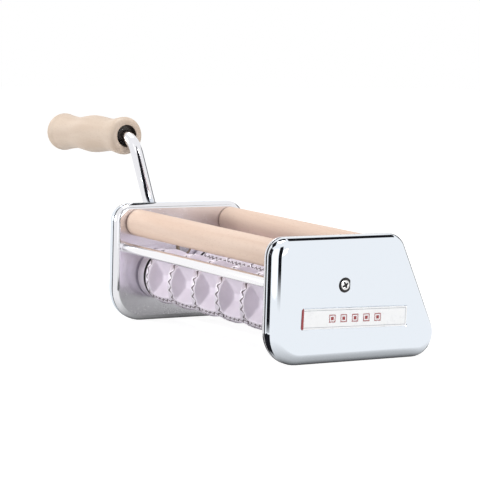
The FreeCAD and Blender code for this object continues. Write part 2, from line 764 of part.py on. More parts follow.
def gear_profile(teeth, turn):
    """Closed wire of an involute gear about the X axis, one tooth's middle at turn."""
    module = value("Sizes.gear_module")
    pressure = math.radians(value("Sizes.pressure_angle"))
    pitch = module * teeth / 2
    base = pitch * math.cos(pressure)
    tip = pitch + module * value("Sizes.tooth_addendum")
    root = pitch - module * value("Sizes.tooth_dedendum")
    half_tooth = math.pi / (2 * teeth) - value("Sizes.backlash") / (4 * pitch)
    steps = 4
    start = max(base, root)
    flank = []
    for step in range(steps + 1):
        radius = start + (tip - start) * step / steps
        spread = half_tooth + involute(pressure) - involute(math.acos(base / radius))
        flank.append((radius, spread))
    if base > root:
        flank.insert(0, (root, flank[0][1]))
    points = []
    for tooth in range(teeth):
        middle = turn + 2 * math.pi * tooth / teeth
        for radius, spread in flank:
            points.append((radius, middle - spread))
        for radius, spread in reversed(flank):
            points.append((radius, middle + spread))
    vectors = [FreeCAD.Vector(0, r * math.cos(a), r * math.sin(a)) for r, a in points]
    return Part.makePolygon(vectors + vectors[:1])


def gear(label, end, y, z, teeth, turn, bore):
    """Spur gear with a plain bore, inside one end's cover."""
    width = value("Sizes.gear_width")
    start = value(GEAR_START) if ENDS[end] > 0 else -value(GEAR_END)
    disc = Part.Face(gear_profile(teeth, turn)).extrude(FreeCAD.Vector(width, 0, 0))
    hole = Part.makeCylinder(value(bore), width, FreeCAD.Vector(0, 0, 0), FreeCAD.Vector(1, 0, 0))
    feature = doc.addObject("Part::Feature", label)
    feature.Label = label
    feature.Shape = disc.cut(hole)
    feature.Placement = FreeCAD.Placement(
        FreeCAD.Vector(value(at_end(end)) + start, value(y), value(z)), FreeCAD.Rotation())
    pieces.append(feature)


def gears():
    """Two timing gears at the gear end, the drive gear and its pinion at the crank end."""
    roller_teeth = int(value("Sizes.roller_teeth"))
    pinion_teeth = int(value("Sizes.pinion_teeth"))
    height = "Sizes.mould_height"
    journal = "Sizes.journal_radius"
    rear_turn = math.pi + math.pi / roller_teeth
    gear("timing_gear_front", "gear_end", roller_y("front"), height, roller_teeth, 0, journal)
    gear("timing_gear_rear", "gear_end", roller_y("rear"), height, roller_teeth, rear_turn, journal)
    mesh = math.acos(value(ROLLER_OFFSET) / value(PINION_OFFSET))
    pinion_turn = mesh + math.pi + math.pi / pinion_teeth
    gear("drive_gear", "crank_end", roller_y("front"), height, roller_teeth, mesh, journal)
    gear("pinion_gear", "crank_end", "Sizes.centre_y", AXIS_HEIGHT, pinion_teeth, pinion_turn, journal)


def pinion_shaft():
    """Shaft of the pinion, its outer end a slotted socket for the crank."""
    mouth = "Sizes.socket_reach"
    collar = f"({GEAR_END} + Sizes.gear_side_gap / 2)"
    bore = "(Sizes.crank_rod_radius + Sizes.crank_fit)"
    spigot_bore = "(Sizes.spigot_radius + Sizes.crank_fit)"
    body = turned("pinion_shaft", [
        ("-Sizes.bush_collar", "Sizes.journal_radius"),
        ("-Sizes.bush_collar", "0"),
        ("0", "0"),
        ("0", spigot_bore),
        (SOCKET_FLOOR, spigot_bore),
        (SOCKET_FLOOR, bore),
        (mouth, bore),
        (mouth, "Sizes.socket_radius"),
        (collar, "Sizes.socket_radius"),
        (collar, "Sizes.journal_radius"),
    ], x=at_end("crank_end"), y="Sizes.centre_y", z=AXIS_HEIGHT, end="crank_end")
    body.Placement.Rotation = crank_rotation().multiply(body.Placement.Rotation)
    slot_half = "(Sizes.crank_pin_radius + Sizes.crank_pin_fit)"
    sketch = new_sketch(body, "PinSlot", "XY_Plane")
    slot_floor = f"({mouth} - Sizes.socket_slot_depth)"
    draw(sketch, [
        (slot_floor, f"-{slot_half}"),
        (f"{mouth} + {slot_half}", f"-{slot_half}"),
        (f"{mouth} + {slot_half}", slot_half),
        (slot_floor, slot_half),
    ])
    pocket(body, sketch, "4 * Sizes.socket_radius")


def crank_rotation():
    """Turns the crank's own plane, X along the shaft and Y up the arm, to its rest place."""
    return FreeCAD.Rotation(FreeCAD.Vector(1, 0, 0), 90 + value("Sizes.crank_lean"))


def crank_rod():
    """Round rod bent twice, with a turned spigot that goes down the socket."""
    body = new_body("crank_rod", f"-({HALF_GAP} + {SOCKET_FLOOR})", "Sizes.centre_y", AXIS_HEIGHT,
                    crank_rotation())
    far = f"(Sizes.crank_plane - {SOCKET_FLOOR})"
    bend = "Sizes.crank_bend_radius"
    setback = f"({bend} * tan((90 + Sizes.crank_droop) / 2 * 1 deg))"
    along = "cos(Sizes.crank_droop * 1 deg)"
    down = "sin(Sizes.crank_droop * 1 deg)"
    path = new_sketch(body, "Path", "XY_Plane")
    draw(path, [
        ("0", "0"),
        (f"-({far} - {bend})", "0"),
        (f"-{far}", bend),
        (f"-{far}", f"Sizes.crank_arm - {setback}"),
        (f"-{far} - {setback} * {along}", f"Sizes.crank_arm - {setback} * {down}"),
        (f"-{far} - Sizes.crank_leg * {along}", f"Sizes.crank_arm - Sizes.crank_leg * {down}"),
    ], {1: f"-{bend}", 3: bend}, closed=False)
    section = new_sketch(body, "Section", "YZ_Plane")
    draw_circles(section, [("0", "0", "Sizes.crank_rod_radius")])
    pipe = body.newObject("PartDesign::AdditivePipe", "Rod")
    pipe.Profile = section
    pipe.Spine = (path, [f"Edge{number}" for number in range(1, 6)])
    doc.recompute()
    spigot = new_sketch(body, "Spigot", "YZ_Plane")
    draw_circles(spigot, [("0", "0", "Sizes.spigot_radius")])
    pad(body, spigot, f"{SOCKET_FLOOR} - Sizes.spigot_end_gap")
    hole = new_sketch(body, "PinHole", "XY_Plane")
    draw_circles(hole, [(f"-(Sizes.socket_reach - Sizes.crank_pin_inset - {SOCKET_FLOOR})", "0",
                         "Sizes.crank_pin_radius")])
    pocket(body, hole, "4 * Sizes.crank_rod_radius")


def crank_pin():
    """Cross pin through the crank rod, driving the socket's slots."""
    body = new_body("crank_pin", f"-({HALF_GAP} + Sizes.socket_reach - Sizes.crank_pin_inset)",
                    "Sizes.centre_y", AXIS_HEIGHT, crank_rotation())
    sketch = new_sketch(body, "Section", "XY_Plane")
    draw_circles(sketch, [("0", "0", "Sizes.crank_pin_radius")])
    pad(body, sketch, "2 * (Sizes.socket_radius - Sizes.crank_pin_shy)", middle=True)


def leg_piece(label, outline, arcs=None):
    """Piece turned about the crank's leg, measured along the leg from the arm's end."""
    body = turned(label, outline, arcs)
    lean = math.radians(value("Sizes.crank_lean"))
    droop = math.radians(value("Sizes.crank_droop"))
    arm = value("Sizes.crank_arm")
    leg = FreeCAD.Vector(-math.cos(droop), math.sin(droop) * math.sin(lean),
                         -math.sin(droop) * math.cos(lean))
    corner = FreeCAD.Vector(
        -value(f"{HALF_GAP} + Sizes.crank_plane"),
        value("Sizes.centre_y") - arm * math.sin(lean),
        value(AXIS_HEIGHT) + arm * math.cos(lean))
    for axis in ("x", "y", "z"):
        body.setExpression(f".Placement.Base.{axis}", None)
    body.Placement = FreeCAD.Placement(corner, FreeCAD.Rotation(FreeCAD.Vector(1, 0, 0), leg))
    doc.recompute()
    return body


def sleeve_start():
    """Where the grip's sleeve starts along the leg."""
    return "(Sizes.grip_start + Sizes.grip_mouth_depth)"


def grip():
    """Turned wooden grip with a collar, a belly and a rounded end."""
    start = "Sizes.grip_start"
    end = f"({start} + Sizes.grip_length)"
    bore_end = "(Sizes.crank_leg + Sizes.grip_bore_spare)"
    swells = [(f"({start} + Sizes.grip_{name}_place)", f"Sizes.grip_{name}_radius")
              for name in ("bulge", "neck", "belly", "waist", "collar")]
    leg_piece("grip", [
        (start, "Sizes.grip_mouth_radius"),
        (sleeve_start(), "Sizes.grip_mouth_radius"),
        (sleeve_start(), "Sizes.sleeve_radius"),
        (bore_end, "Sizes.sleeve_radius"),
        (bore_end, "0"),
        (end, "0"),
        (f"{end} - Sizes.grip_tip_height", "Sizes.grip_tip_radius"),
        *swells,
        (start, "Sizes.grip_face_radius"),
    ], {
        5: "Sizes.grip_tip_arc",
        6: "Sizes.grip_bulge_arc",
        7: "Sizes.grip_neck_arc",
        8: "Sizes.grip_belly_arc",
        9: "Sizes.grip_belly_arc",
        10: "Sizes.grip_waist_arc",
        11: "Sizes.grip_collar_arc",
    })


def grip_sleeve():
    """Steel sleeve pressed into the grip, running on the crank's leg."""
    inner = "Sizes.crank_rod_radius + Sizes.sleeve_clearance"
    start = sleeve_start()
    end = f"({start} + Sizes.sleeve_length)"
    leg_piece("grip_sleeve", [
        (start, inner),
        (end, inner),
        (end, "Sizes.sleeve_radius"),
        (start, "Sizes.sleeve_radius"),
    ])


def grip_ring():
    """Retaining ring on the end of the crank's leg, behind the sleeve."""
    start = f"({sleeve_start()} + Sizes.sleeve_length + Sizes.grip_ring_gap)"
    end = f"({start} + Sizes.grip_ring_width)"
    leg_piece("grip_ring", [
        (start, "Sizes.crank_rod_radius"),
        (end, "Sizes.crank_rod_radius"),
        (end, "Sizes.grip_ring_radius"),
        (start, "Sizes.grip_ring_radius"),
    ])


def wood_roller(row):
    """Turned wooden roller with a blind bore at each end for its stub pins."""
    half = "(Sizes.plate_gap / 2 - Sizes.wood_end_gap)"
    floor = f"({half} - Sizes.wood_pin_depth - Sizes.wood_bore_spare)"
    bore = "(Sizes.wood_pin_radius + Sizes.running_clearance)"
    edge = "Sizes.wood_edge"
    turned(f"wood_roller_{row}", [
        (f"-{floor}", "0"),
        (floor, "0"),
        (floor, bore),
        (half, bore),
        (half, f"Sizes.wood_radius - {edge}"),
        (f"{half} - {edge}", "Sizes.wood_radius"),
        (f"-({half} - {edge})", "Sizes.wood_radius"),
        (f"-{half}", f"Sizes.wood_radius - {edge}"),
        (f"-{half}", bore),
        (f"-{floor}", bore),
    ], y=WOOD_Y[row], z=WOOD_HEIGHT)


def wood_roller_pin(row, end):
    """Headed stub pin through the side plate into the wooden roller."""
    head = "Sizes.wood_pin_head_radius"
    turned(f"wood_roller_pin_{row}_{end}", [
        ("-(Sizes.wood_end_gap + Sizes.wood_pin_depth)", "0"),
        ("Sizes.plate_sheet + Sizes.wood_pin_head_height", "0"),
        ("Sizes.plate_sheet + Sizes.wood_pin_head_height", head),
        ("Sizes.plate_sheet", head),
        ("Sizes.plate_sheet", "Sizes.wood_pin_radius"),
        ("-(Sizes.wood_end_gap + Sizes.wood_pin_depth)", "Sizes.wood_pin_radius"),
    ], x=at_end(end), y=WOOD_Y[row], z=WOOD_HEIGHT, end=end)


def tie_rod(row):
    """Rod between the side plates, its ends turned down and threaded for nuts."""
    half = "Sizes.plate_gap / 2"
    tip = f"({half} + Sizes.plate_sheet + Sizes.nut_height + Sizes.thread_spare)"
    turned(f"tie_rod_{row}", [
        (f"-{tip}", "0"),
        (tip, "0"),
        (tip, "Sizes.rod_thread_radius"),
        (half, "Sizes.rod_thread_radius"),
        (half, "Sizes.rod_radius"),
        (f"-{half}", "Sizes.rod_radius"),
        (f"-{half}", "Sizes.rod_thread_radius"),
        (f"-{tip}", "Sizes.rod_thread_radius"),
    ], y=ROD_Y[row], z=ROD_HEIGHT)


def tie_rod_nut(row, end):
    """Hexagon nut on a tie rod, inside the cover."""
    outward = ENDS[end]
    body = new_body(f"tie_rod_nut_{row}_{end}", at_end(end), ROD_Y[row], ROD_HEIGHT)
    start = "Sizes.plate_sheet" if outward > 0 else "-Sizes.plate_sheet"
    sketch = new_sketch(body, "Hexagon", "YZ_Plane", start)
    corner = "(Sizes.nut_flats / sqrt(3))"
    draw(sketch, [(f"{corner} * cos({60 * side} * 1 deg)", f"{corner} * sin({60 * side} * 1 deg)")
                  for side in range(6)])
    pad(body, sketch, "Sizes.nut_height", reverse=outward < 0)
    sketch = new_sketch(body, "Thread", "YZ_Plane", start)
    draw_circles(sketch, [("0", "0", "Sizes.rod_thread_radius")])
    pocket(body, sketch, "4 * Sizes.nut_height")


def slant_frame():
    """Place of the coupling plate: its outer face, at the middle of its height."""
    angle = value(REAR_ANGLE)
    out = value("Sizes.coupling_offset")
    middle = value("Sizes.coupling_middle")
    edge = value(REAR_EDGE.format("Sizes.coupling_middle"))
    base = FreeCAD.Vector(0, edge + out * math.cos(math.radians(angle)),
                          middle + out * math.sin(math.radians(angle)))
    return FreeCAD.Placement(base, FreeCAD.Rotation(FreeCAD.Vector(1, 0, 0), angle))


def rivet_place(side):
    """Y and Z of a rivet of the coupling plate, below the middle or above it."""
    along = f"({side} * Sizes.rivet_spacing / 2)"
    inward = "(Sizes.rivet_inset - Sizes.coupling_offset)"
    edge = REAR_EDGE.format("Sizes.coupling_middle")
    y = f"{edge} - {inward} * cos({REAR_ANGLE}) - {along} * sin({REAR_ANGLE})"
    z = f"Sizes.coupling_middle - {inward} * sin({REAR_ANGLE}) + {along} * cos({REAR_ANGLE})"
    return y, z


def coupling_plate():
    """Folded plate behind the slanted edges, with an ear on each side plate and two holes."""
    body = new_body("coupling_plate")
    body.Placement = slant_frame()
    half = "Sizes.plate_gap / 2"
    inside = f"({half} - Sizes.coupling_sheet)"
    sketch = new_sketch(body, "Fold", "XY_Plane")
    draw(sketch, [
        (f"-{half}", "0"),
        (half, "0"),
        (half, "-Sizes.coupling_ear"),
        (inside, "-Sizes.coupling_ear"),
        (inside, "-Sizes.coupling_sheet"),
        (f"-{inside}", "-Sizes.coupling_sheet"),
        (f"-{inside}", "-Sizes.coupling_ear"),
        (f"-{half}", "-Sizes.coupling_ear"),
    ])
    pad(body, sketch, "Sizes.coupling_height", middle=True)
    width = value(half)
    thick = value("Sizes.coupling_sheet")

    def on_bend(edge, x, y):
        upright = edge.BoundBox.XLength < 1e-6 and edge.BoundBox.YLength < 1e-6
        return upright and all(abs(abs(v.X) - x) < 1e-4 and abs(v.Y + y) < 1e-4 for v in edge.Vertexes)
    fillet(body, "Sizes.coupling_bend", lambda edge: on_bend(edge, width, 0))
    fillet(body, "Sizes.coupling_bend - Sizes.coupling_sheet",
           lambda edge: on_bend(edge, width - thick, thick))
    sketch = new_sketch(body, "BoltHoles", "XZ_Plane")
    draw_circles(sketch, [(f"{side} * Sizes.coupling_hole_spacing / 2", "0", "Sizes.coupling_hole_radius")
                          for side in (-1, 1)])
    pocket(body, sketch, "4 * Sizes.coupling_sheet")
    sketch = new_sketch(body, "RivetHoles", "YZ_Plane")
    draw_circles(sketch, [("-Sizes.rivet_inset", f"{side} * Sizes.rivet_spacing / 2", "Sizes.rivet_radius")
                          for side in (-1, 1)])
    pocket(body, sketch, "2 * Sizes.plate_gap")


def rivet(name, side, end):
    """Rivet through an ear of the coupling plate and the side plate."""
    y, z = rivet_place(side)
    lip = "(Sizes.rivet_radius + Sizes.rivet_head_lip)"
    near = "-Sizes.coupling_sheet"
    far = "Sizes.plate_sheet"
    turned(f"coupling_rivet_{name}_{end}", [
        (f"{near} - Sizes.rivet_head", "0"),
        (f"{far} + Sizes.rivet_head", "0"),
        (f"{far} + Sizes.rivet_head", f"{lip} - Sizes.rivet_head_edge"),
        (far, lip),
        (far, "Sizes.rivet_radius"),
        (near, "Sizes.rivet_radius"),
        (near, lip),
        (f"{near} - Sizes.rivet_head", f"{lip} - Sizes.rivet_head_edge"),
    ], x=at_end(end), y=y, z=z, end=end)


def build():
    """All the pieces, from the frame to the moving parts."""
    for end in ENDS:
        side_plate(end)
        body = cover(end)
        if end == "gear_end":
            cut_cover_gear_end(body)
        else:
            cut_cover_crank_end(body)
        for row in ROWS:
            bush(f"roller_bush_{row}_{end}", end, roller_y(row), "Sizes.mould_height")
            wood_roller_pin(row, end)
            tie_rod_nut(row, end)
            shaft_ring(row, end)
        for name, side in (("lower", -1), ("upper", 1)):
            rivet(name, side, end)
    label_plate()
    cup_floor = "(Sizes.cover_depth - Sizes.screw_cup_depth)"
    cover_post("cover_post_gear_end", "gear_end", "Sizes.centre_y", AXIS_HEIGHT, "Sizes.screw_cup_depth")
    cover_screw("cover_screw_gear_end", "gear_end", "Sizes.centre_y", AXIS_HEIGHT, cup_floor)
    for name in ("upper", "lower"):
        cover_post(f"cover_post_{name}", "crank_end", *POST_PLACES[name], "0")
        cover_screw(f"cover_screw_{name}", "crank_end", *POST_PLACES[name], "Sizes.cover_depth")
    coupling_plate()
    bush("pinion_bush", "crank_end", "Sizes.centre_y", AXIS_HEIGHT)
    socket_bush()
    for row in ROWS:
        tie_rod(row)
        wood_roller(row)
        mould_roller(row)
        roller_shaft(row)
    spacer_tube("rear")
    gears()
    pinion_shaft()
    crank_rod()
    crank_pin()
    grip()
    grip_sleeve()
    grip_ring()


def check_and_export():
    """Stops on a failed object or shape, then writes one file for each piece."""
    doc.recompute()
    for item in doc.Objects:
        if "Invalid" in item.State or "Error" in item.State:
            raise RuntimeError(f"{item.Label} ({item.Name}) failed: {item.State}")
    for piece in pieces:
        shape = piece.Shape
        if shape.isNull() or not shape.isValid():
            raise RuntimeError(f"{piece.Label} has no valid shape")
        if len(shape.Solids) != 1:
            raise RuntimeError(f"{piece.Label} has {len(shape.Solids)} solids")
    os.makedirs("parts", exist_ok=True)
    for piece in pieces:
        piece.Shape.exportStep(f"parts/{piece.Label}.step")
    print(len(pieces), "pieces written")


doc = FreeCAD.newDocument("RavioliMaker")
pieces = []
sheet = make_sheet()
build()
check_and_export()
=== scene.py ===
import bmesh
import bpy
import json
import math
from mathutils import Matrix, Vector, geometry


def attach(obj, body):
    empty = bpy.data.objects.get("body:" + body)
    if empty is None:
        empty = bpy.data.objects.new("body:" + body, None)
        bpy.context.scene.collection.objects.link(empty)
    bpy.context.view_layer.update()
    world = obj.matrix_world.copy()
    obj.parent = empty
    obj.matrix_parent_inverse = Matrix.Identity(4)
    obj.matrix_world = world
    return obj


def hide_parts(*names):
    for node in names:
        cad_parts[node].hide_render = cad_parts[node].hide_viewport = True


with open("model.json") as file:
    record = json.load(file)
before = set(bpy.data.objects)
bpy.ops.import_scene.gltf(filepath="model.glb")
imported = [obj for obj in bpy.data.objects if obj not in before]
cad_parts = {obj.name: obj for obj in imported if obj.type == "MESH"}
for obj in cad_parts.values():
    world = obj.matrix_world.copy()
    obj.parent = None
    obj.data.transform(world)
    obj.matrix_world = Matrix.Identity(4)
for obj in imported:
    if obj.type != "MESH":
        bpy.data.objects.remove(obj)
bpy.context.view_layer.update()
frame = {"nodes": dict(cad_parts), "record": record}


# Studio. A white floor runs into a white surround, with soft lamps overhead, at the left and low on
# the right. Cards, seen only in reflections, give bright metal its dark and light bands.
mm = 0.001
scene = bpy.context.scene
scene.view_settings.view_transform = "Standard"


def fed(tree, made, inputs):
    """A node, its inputs given values or links."""
    for socket, source in inputs.items():
        if isinstance(source, bpy.types.NodeSocket):
            tree.links.new(source, made.inputs[socket])
        else:
            made.inputs[socket].default_value = source
    return made


def node(tree, kind, inputs=None, **traits):
    """New shader node with its traits and inputs."""
    made = tree.nodes.new("ShaderNode" + kind)
    for trait, setting in traits.items():
        setattr(made, trait, setting)
    return fed(tree, made, inputs or {})


def math_node(tree, operation, *inputs):
    """Result of a sum on numbers or sockets."""
    return node(tree, "Math", dict(enumerate(inputs)), operation=operation).outputs[0]


def new_material(name):
    """Material with an empty node tree."""
    material = bpy.data.materials.new(name)
    material.use_nodes = True
    material.node_tree.nodes.clear()
    return material


def seen_as_background(tree):
    """1 where the camera, a reflection or a view through glass meets the surface."""
    path = node(tree, "LightPath")
    seen = math_node(tree, "MAXIMUM", path.outputs["Is Camera Ray"], path.outputs["Is Glossy Ray"])
    return math_node(tree, "MAXIMUM", seen, path.outputs["Is Transmission Ray"])


def in_scene(name, mesh):
    """Object for a mesh, linked to the scene."""
    made = bpy.data.objects.new(name, mesh)
    scene.collection.objects.link(made)
    return made


def flat_sheet(name, width, height, material):
    """Flat face of the studio, about the origin."""
    a = width / 2
    b = height / 2
    mesh = bpy.data.meshes.new(name)
    mesh.from_pydata([(-a, -b, 0), (a, -b, 0), (a, b, 0), (-a, b, 0)], [], [(0, 1, 2, 3)])
    mesh.materials.append(material)
    made = in_scene(name, mesh)
    return made


world = bpy.data.worlds.new("white_surround")
scene.world = world
world.use_nodes = True
world.node_tree.nodes.clear()
tree = world.node_tree
surround_light = 0.31
surround_strength = math_node(tree, "MULTIPLY_ADD", seen_as_background(tree), 1 - surround_light,
                              surround_light)
surround = node(tree, "Background", {"Color": (1, 1, 1, 1), "Strength": surround_strength})
node(tree, "OutputWorld", {"Surface": surround.outputs[0]})

floor_paint = new_material("white_floor")
tree = floor_paint.node_tree
# Seen by the camera the floor glows almost white over a faint real shadow. Seen in reflections it glows
# white, darkened by ambient occlusion near the object as a painted contact shadow.
glossy_share = node(tree, "LightPath").outputs["Is Glossy Ray"]
open_share = node(tree, "AmbientOcclusion", {"Distance": 0.04}, samples=8).outputs["AO"]
open_share = math_node(tree, "POWER", open_share, 1.2)
shadow_tone = 0.3
floor_white = 0.91
floor_tone = math_node(tree, "MULTIPLY_ADD", glossy_share, -shadow_tone, shadow_tone)
open_change = math_node(tree, "SUBTRACT", open_share, floor_white)
floor_strength = math_node(tree, "MULTIPLY_ADD", glossy_share, open_change, floor_white)
floor_matt = node(tree, "BsdfDiffuse", {"Color": floor_tone})
floor_glow = node(tree, "Emission", {"Color": (1, 1, 1, 1), "Strength": floor_strength})
floor_bright = node(tree, "AddShader", {0: floor_matt.outputs[0], 1: floor_glow.outputs[0]})
floor_plain = node(tree, "BsdfDiffuse", {"Color": (0.7, 0.7, 0.7, 1)})
floor_mix = node(tree, "MixShader", {0: seen_as_background(tree), 1: floor_plain.outputs[0],
                                     2: floor_bright.outputs[0]})
node(tree, "OutputMaterial", {"Surface": floor_mix.outputs[0]})
flat_sheet("floor", 6, 6, floor_paint)

# The black cards fade out towards their two ends
card_black = new_material("card_black")
tree = card_black.node_tree
card_place = node(tree, "SeparateXYZ", {"Vector": node(tree, "TexCoord").outputs["Generated"]})
card_end = math_node(tree, "PINGPONG", card_place.outputs["Y"], 0.5)
card_share = node(tree, "MapRange", {"Value": card_end, "From Max": 0.1},
                  interpolation_type="SMOOTHSTEP")
card_clear = node(tree, "BsdfTransparent")
card_matt = node(tree, "BsdfDiffuse", {"Color": (0.012, 0.012, 0.015, 1)})
card_mix = node(tree, "MixShader", {0: card_share.outputs[0], 1: card_clear.outputs[0],
                                    2: card_matt.outputs[0]})
node(tree, "OutputMaterial", {"Surface": card_mix.outputs[0]})

card_white = new_material("card_white")
tree = card_white.node_tree
card_glow = node(tree, "Emission", {"Color": (1, 1, 1, 1), "Strength": 1.22})
node(tree, "OutputMaterial", {"Surface": card_glow.outputs[0]})


def studio_card(name, material, centre, target, width, height):
    """Flat card turned towards a point, seen by reflections alone."""
    card = flat_sheet(name, width, height, material)
    card.location = centre
    card.rotation_euler = (Vector(target) - Vector(centre)).to_track_quat("Z", "Y").to_euler()
    card.visible_camera = False
    card.visible_diffuse = False
    card.visible_shadow = False
    card.visible_transmission = False


card_lift = 0.0006
for card_name, centre, target, width, height in (
        ("card_right", (0.352, -0.155, 0.2), (0.122, -0.085, 0.2), 0.129, 0.4),
        ("card_front", (0.0695, -0.1735, 0.085), (0.118, -0.086, 0.085), 0.077, 0.17),
        ("card_foot", (0.099, 0.0125, card_lift), (0.099, 0.0125, 1), 0.0385, 0.175),
        ("card_toe", (0.071, -0.125, card_lift), (0.071, -0.125, 1), 0.083, 0.1),
        ("card_corner", (0.0213, -0.149, 0.224), (0.12, -0.08, 0.09), 0.12, 0.09),
        ("card_over", (0.0604, -0.0483, 0.231), (0.12, -0.07, 0.095), 0.08, 0.08),
        ("card_above", (0.0755, 0.085, 0.225), (0.4115, 0.085, -0.717), 0.15, 0.107),
        ("card_behind", (-0.12, 0.36, 0.15), (0.12, 0.06, 0.15), 0.2, 0.3),
        ("card_crank", (-0.1217, -0.05, 0.118), (-0.1485, -0.0421, 0.13), 0.021, 0.07)):
    studio_card(card_name, card_black, centre, target, width, height)
studio_card("card_pale", card_white, (0.256, -0.352, 0.2), (0.12, -0.085, 0.2), 0.33, 0.4)


lamp_target = Vector((0, 0, 0.05))


def soft_lamp(name, place, size, power):
    """Large square lamp turned towards the object."""
    data = bpy.data.lights.new(name, "AREA")
    data.size = size
    data.energy = power
    lamp = bpy.data.objects.new(name, data)
    lamp.location = place
    lamp.rotation_euler = (lamp_target - Vector(place)).to_track_quat("-Z", "Y").to_euler()
    scene.collection.objects.link(lamp)


soft_lamp("lamp_top", (-0.2, -0.03, 1.4), 0.6, 12)
soft_lamp("lamp_key", (-0.8, -1.3, 0.3), 0.6, 11.5)
soft_lamp("lamp_fill", (1.6, 0.3, 0.35), 0.5, 12)

sensor_width = 36
photo_width = 480
focal_pixels = 2322.67
camera_place = (1.55335, -1.08936, 0.31219)
camera_data = bpy.data.cameras.new("camera")
camera_data.sensor_fit = "HORIZONTAL"
camera_data.sensor_width = sensor_width
camera_data.lens = focal_pixels * sensor_width / photo_width
camera_data.clip_start = 0.05
camera_data.clip_end = 20
camera = bpy.data.objects.new("camera", camera_data)
camera_azimuth = math.radians(55.83)
camera_elevation = math.radians(6.99)
camera_roll = math.radians(2.55)
back = Vector((math.sin(camera_azimuth) * math.cos(camera_elevation),
               -math.cos(camera_azimuth) * math.cos(camera_elevation), math.sin(camera_elevation)))
level = Vector((math.cos(camera_azimuth), math.sin(camera_azimuth), 0))
upright = back.cross(level)
right = level * math.cos(camera_roll) + upright * math.sin(camera_roll)
top = upright * math.cos(camera_roll) - level * math.sin(camera_roll)
turn = Matrix((right, top, back)).transposed().to_4x4()
camera.matrix_world = Matrix.Translation(camera_place) @ turn
scene.collection.objects.link(camera)
scene.camera = camera


# Side plates. Each is a pan drawn from bright-plated steel sheet, its flat face inwards and its
# rolled rim outwards; rods, bushes and rivets hold the two pans together.
side_face = 108
corner_steps = 14
corner_places = [(-85.5, 0, 28), (85.5, 0, 19), (36.5, 100, 15), (-87.5, 100, 15)]


def plate_loop(inset):
    """The end plates' rounded outline, moved inwards, as (y, z) and the way out of it."""
    loop = []
    count = len(corner_places)
    for number, (y, z, radius) in enumerate(corner_places):
        before = Vector((y, z)) - Vector(corner_places[number - 1][:2])
        after = Vector(corner_places[(number + 1) % count][:2]) - Vector((y, z))
        first = Vector((before.y, -before.x)).normalized()
        last = Vector((after.y, -after.x)).normalized()
        centre = Vector((y, z)) - radius * (first + last) / (1 + first.dot(last))
        start = math.atan2(first.y, first.x)
        sweep = math.atan2(first.x * last.y - first.y * last.x, first.dot(last))
        for step in range(corner_steps + 1):
            angle = start + sweep * step / corner_steps
            out = Vector((math.cos(angle), math.sin(angle)))
            loop.append((centre + out * (radius - inset), out))
    return loop


class Skin:
    """Vertices with their own normals, and faces with a material number."""

    def __init__(self, end):
        self.end = end
        self.points = []
        self.normals = []
        self.faces = []
        self.paints = []

    def point(self, out, y, z, normal):
        self.points.append(Vector((self.end * (side_face + out), y, z)) * mm)
        self.normals.append(Vector((self.end * normal[0], normal[1], normal[2])))
        return len(self.points) - 1

    def face(self, corners, paint=0):
        self.faces.append(corners if self.end > 0 else corners[::-1])
        self.paints.append(paint)

    def join(self, low, high, paint=0):
        """Faces between two closed rows of points."""
        for k in range(len(low)):
            after = (k + 1) % len(low)
            self.face((low[k], low[after], high[after], high[k]), paint)

    def loft(self, rings, paint=0):
        """Skin over rings given as distance out, inset, and tilt of the normal from outwards."""
        rows = []
        for out, inset, tilt in rings:
            lean = math.radians(tilt)
            rows.append([self.point(out, p.x, p.y, (math.cos(lean), math.sin(lean) * way.x,
                                                    math.sin(lean) * way.y))
                         for p, way in plate_loop(inset)])
        for low, high in zip(rows, rows[1:]):
            self.join(low, high, paint)
        return rows

    def finished(self, name, materials, sharp=40):
        mesh = bpy.data.meshes.new(name)
        mesh.from_pydata(self.points, [], self.faces)
        for material in materials:
            mesh.materials.append(material)
        for polygon, paint in zip(mesh.polygons, self.paints):
            polygon.material_index = paint
        mesh.shade_smooth()
        mesh.set_sharp_from_angle(angle=math.radians(sharp))
        mesh.normals_split_custom_set_from_vertices(self.normals)
        return in_scene(name, mesh)


def new_group(name, inputs, outputs):
    """Shader node group with named inputs, each with its usual value, and named outputs."""
    group = bpy.data.node_groups.new(name, "ShaderNodeTree")
    for title, kind, usual in inputs:
        socket = group.interface.new_socket(name=title, in_out="INPUT",
                                            socket_type="NodeSocket" + kind)
        if usual is not None:
            socket.default_value = usual
    for title, kind in outputs:
        group.interface.new_socket(name=title, in_out="OUTPUT", socket_type="NodeSocket" + kind)
    return group, group.nodes.new("NodeGroupInput"), group.nodes.new("NodeGroupOutput")


def use_group(tree, group, **inputs):
    """Places a group in a material with its own values."""
    made = node(tree, "Group", node_tree=group)
    return fed(tree, made, {title.replace("_", " "): source for title, source in inputs.items()})


def ranged(tree, source, from_low, from_high, to_low=0, to_high=1):
    """Value moved from one range into another and held there."""
    return node(tree, "MapRange", {"Value": source, "From Min": from_low, "From Max": from_high,
                                   "To Min": to_low, "To Max": to_high}).outputs[0]


# Wiping and handling leave broad smudges and fine hair scratches on a polished surface
polish_marks, group_in, group_out = new_group(
    "polish_marks",
    [("Position", "Vector", None), ("Smudge Scale", "Float", 18.0), ("Low", "Float", 0.04),
     ("High", "Float", 0.12)],
    [("Roughness", "Float"), ("Height", "Float")])
smudge = node(polish_marks, "TexNoise", {"Vector": group_in.outputs["Position"],
                                         "Scale": group_in.outputs["Smudge Scale"], "Detail": 4.0,
                                         "Roughness": 0.6})
hair_place = node(polish_marks, "Mapping", {"Vector": group_in.outputs["Position"],
                                            "Rotation": (0.4, 0.2, 0.7), "Scale": (60, 900, 900)})
hair = node(polish_marks, "TexNoise", {"Vector": hair_place.outputs[0], "Scale": 1.0, "Detail": 3.0})
hair_line = ranged(polish_marks, hair.outputs["Fac"], 0.62, 0.72)
blend_marks = math_node(polish_marks, "MULTIPLY_ADD", hair_line, 0.25, smudge.outputs["Fac"])
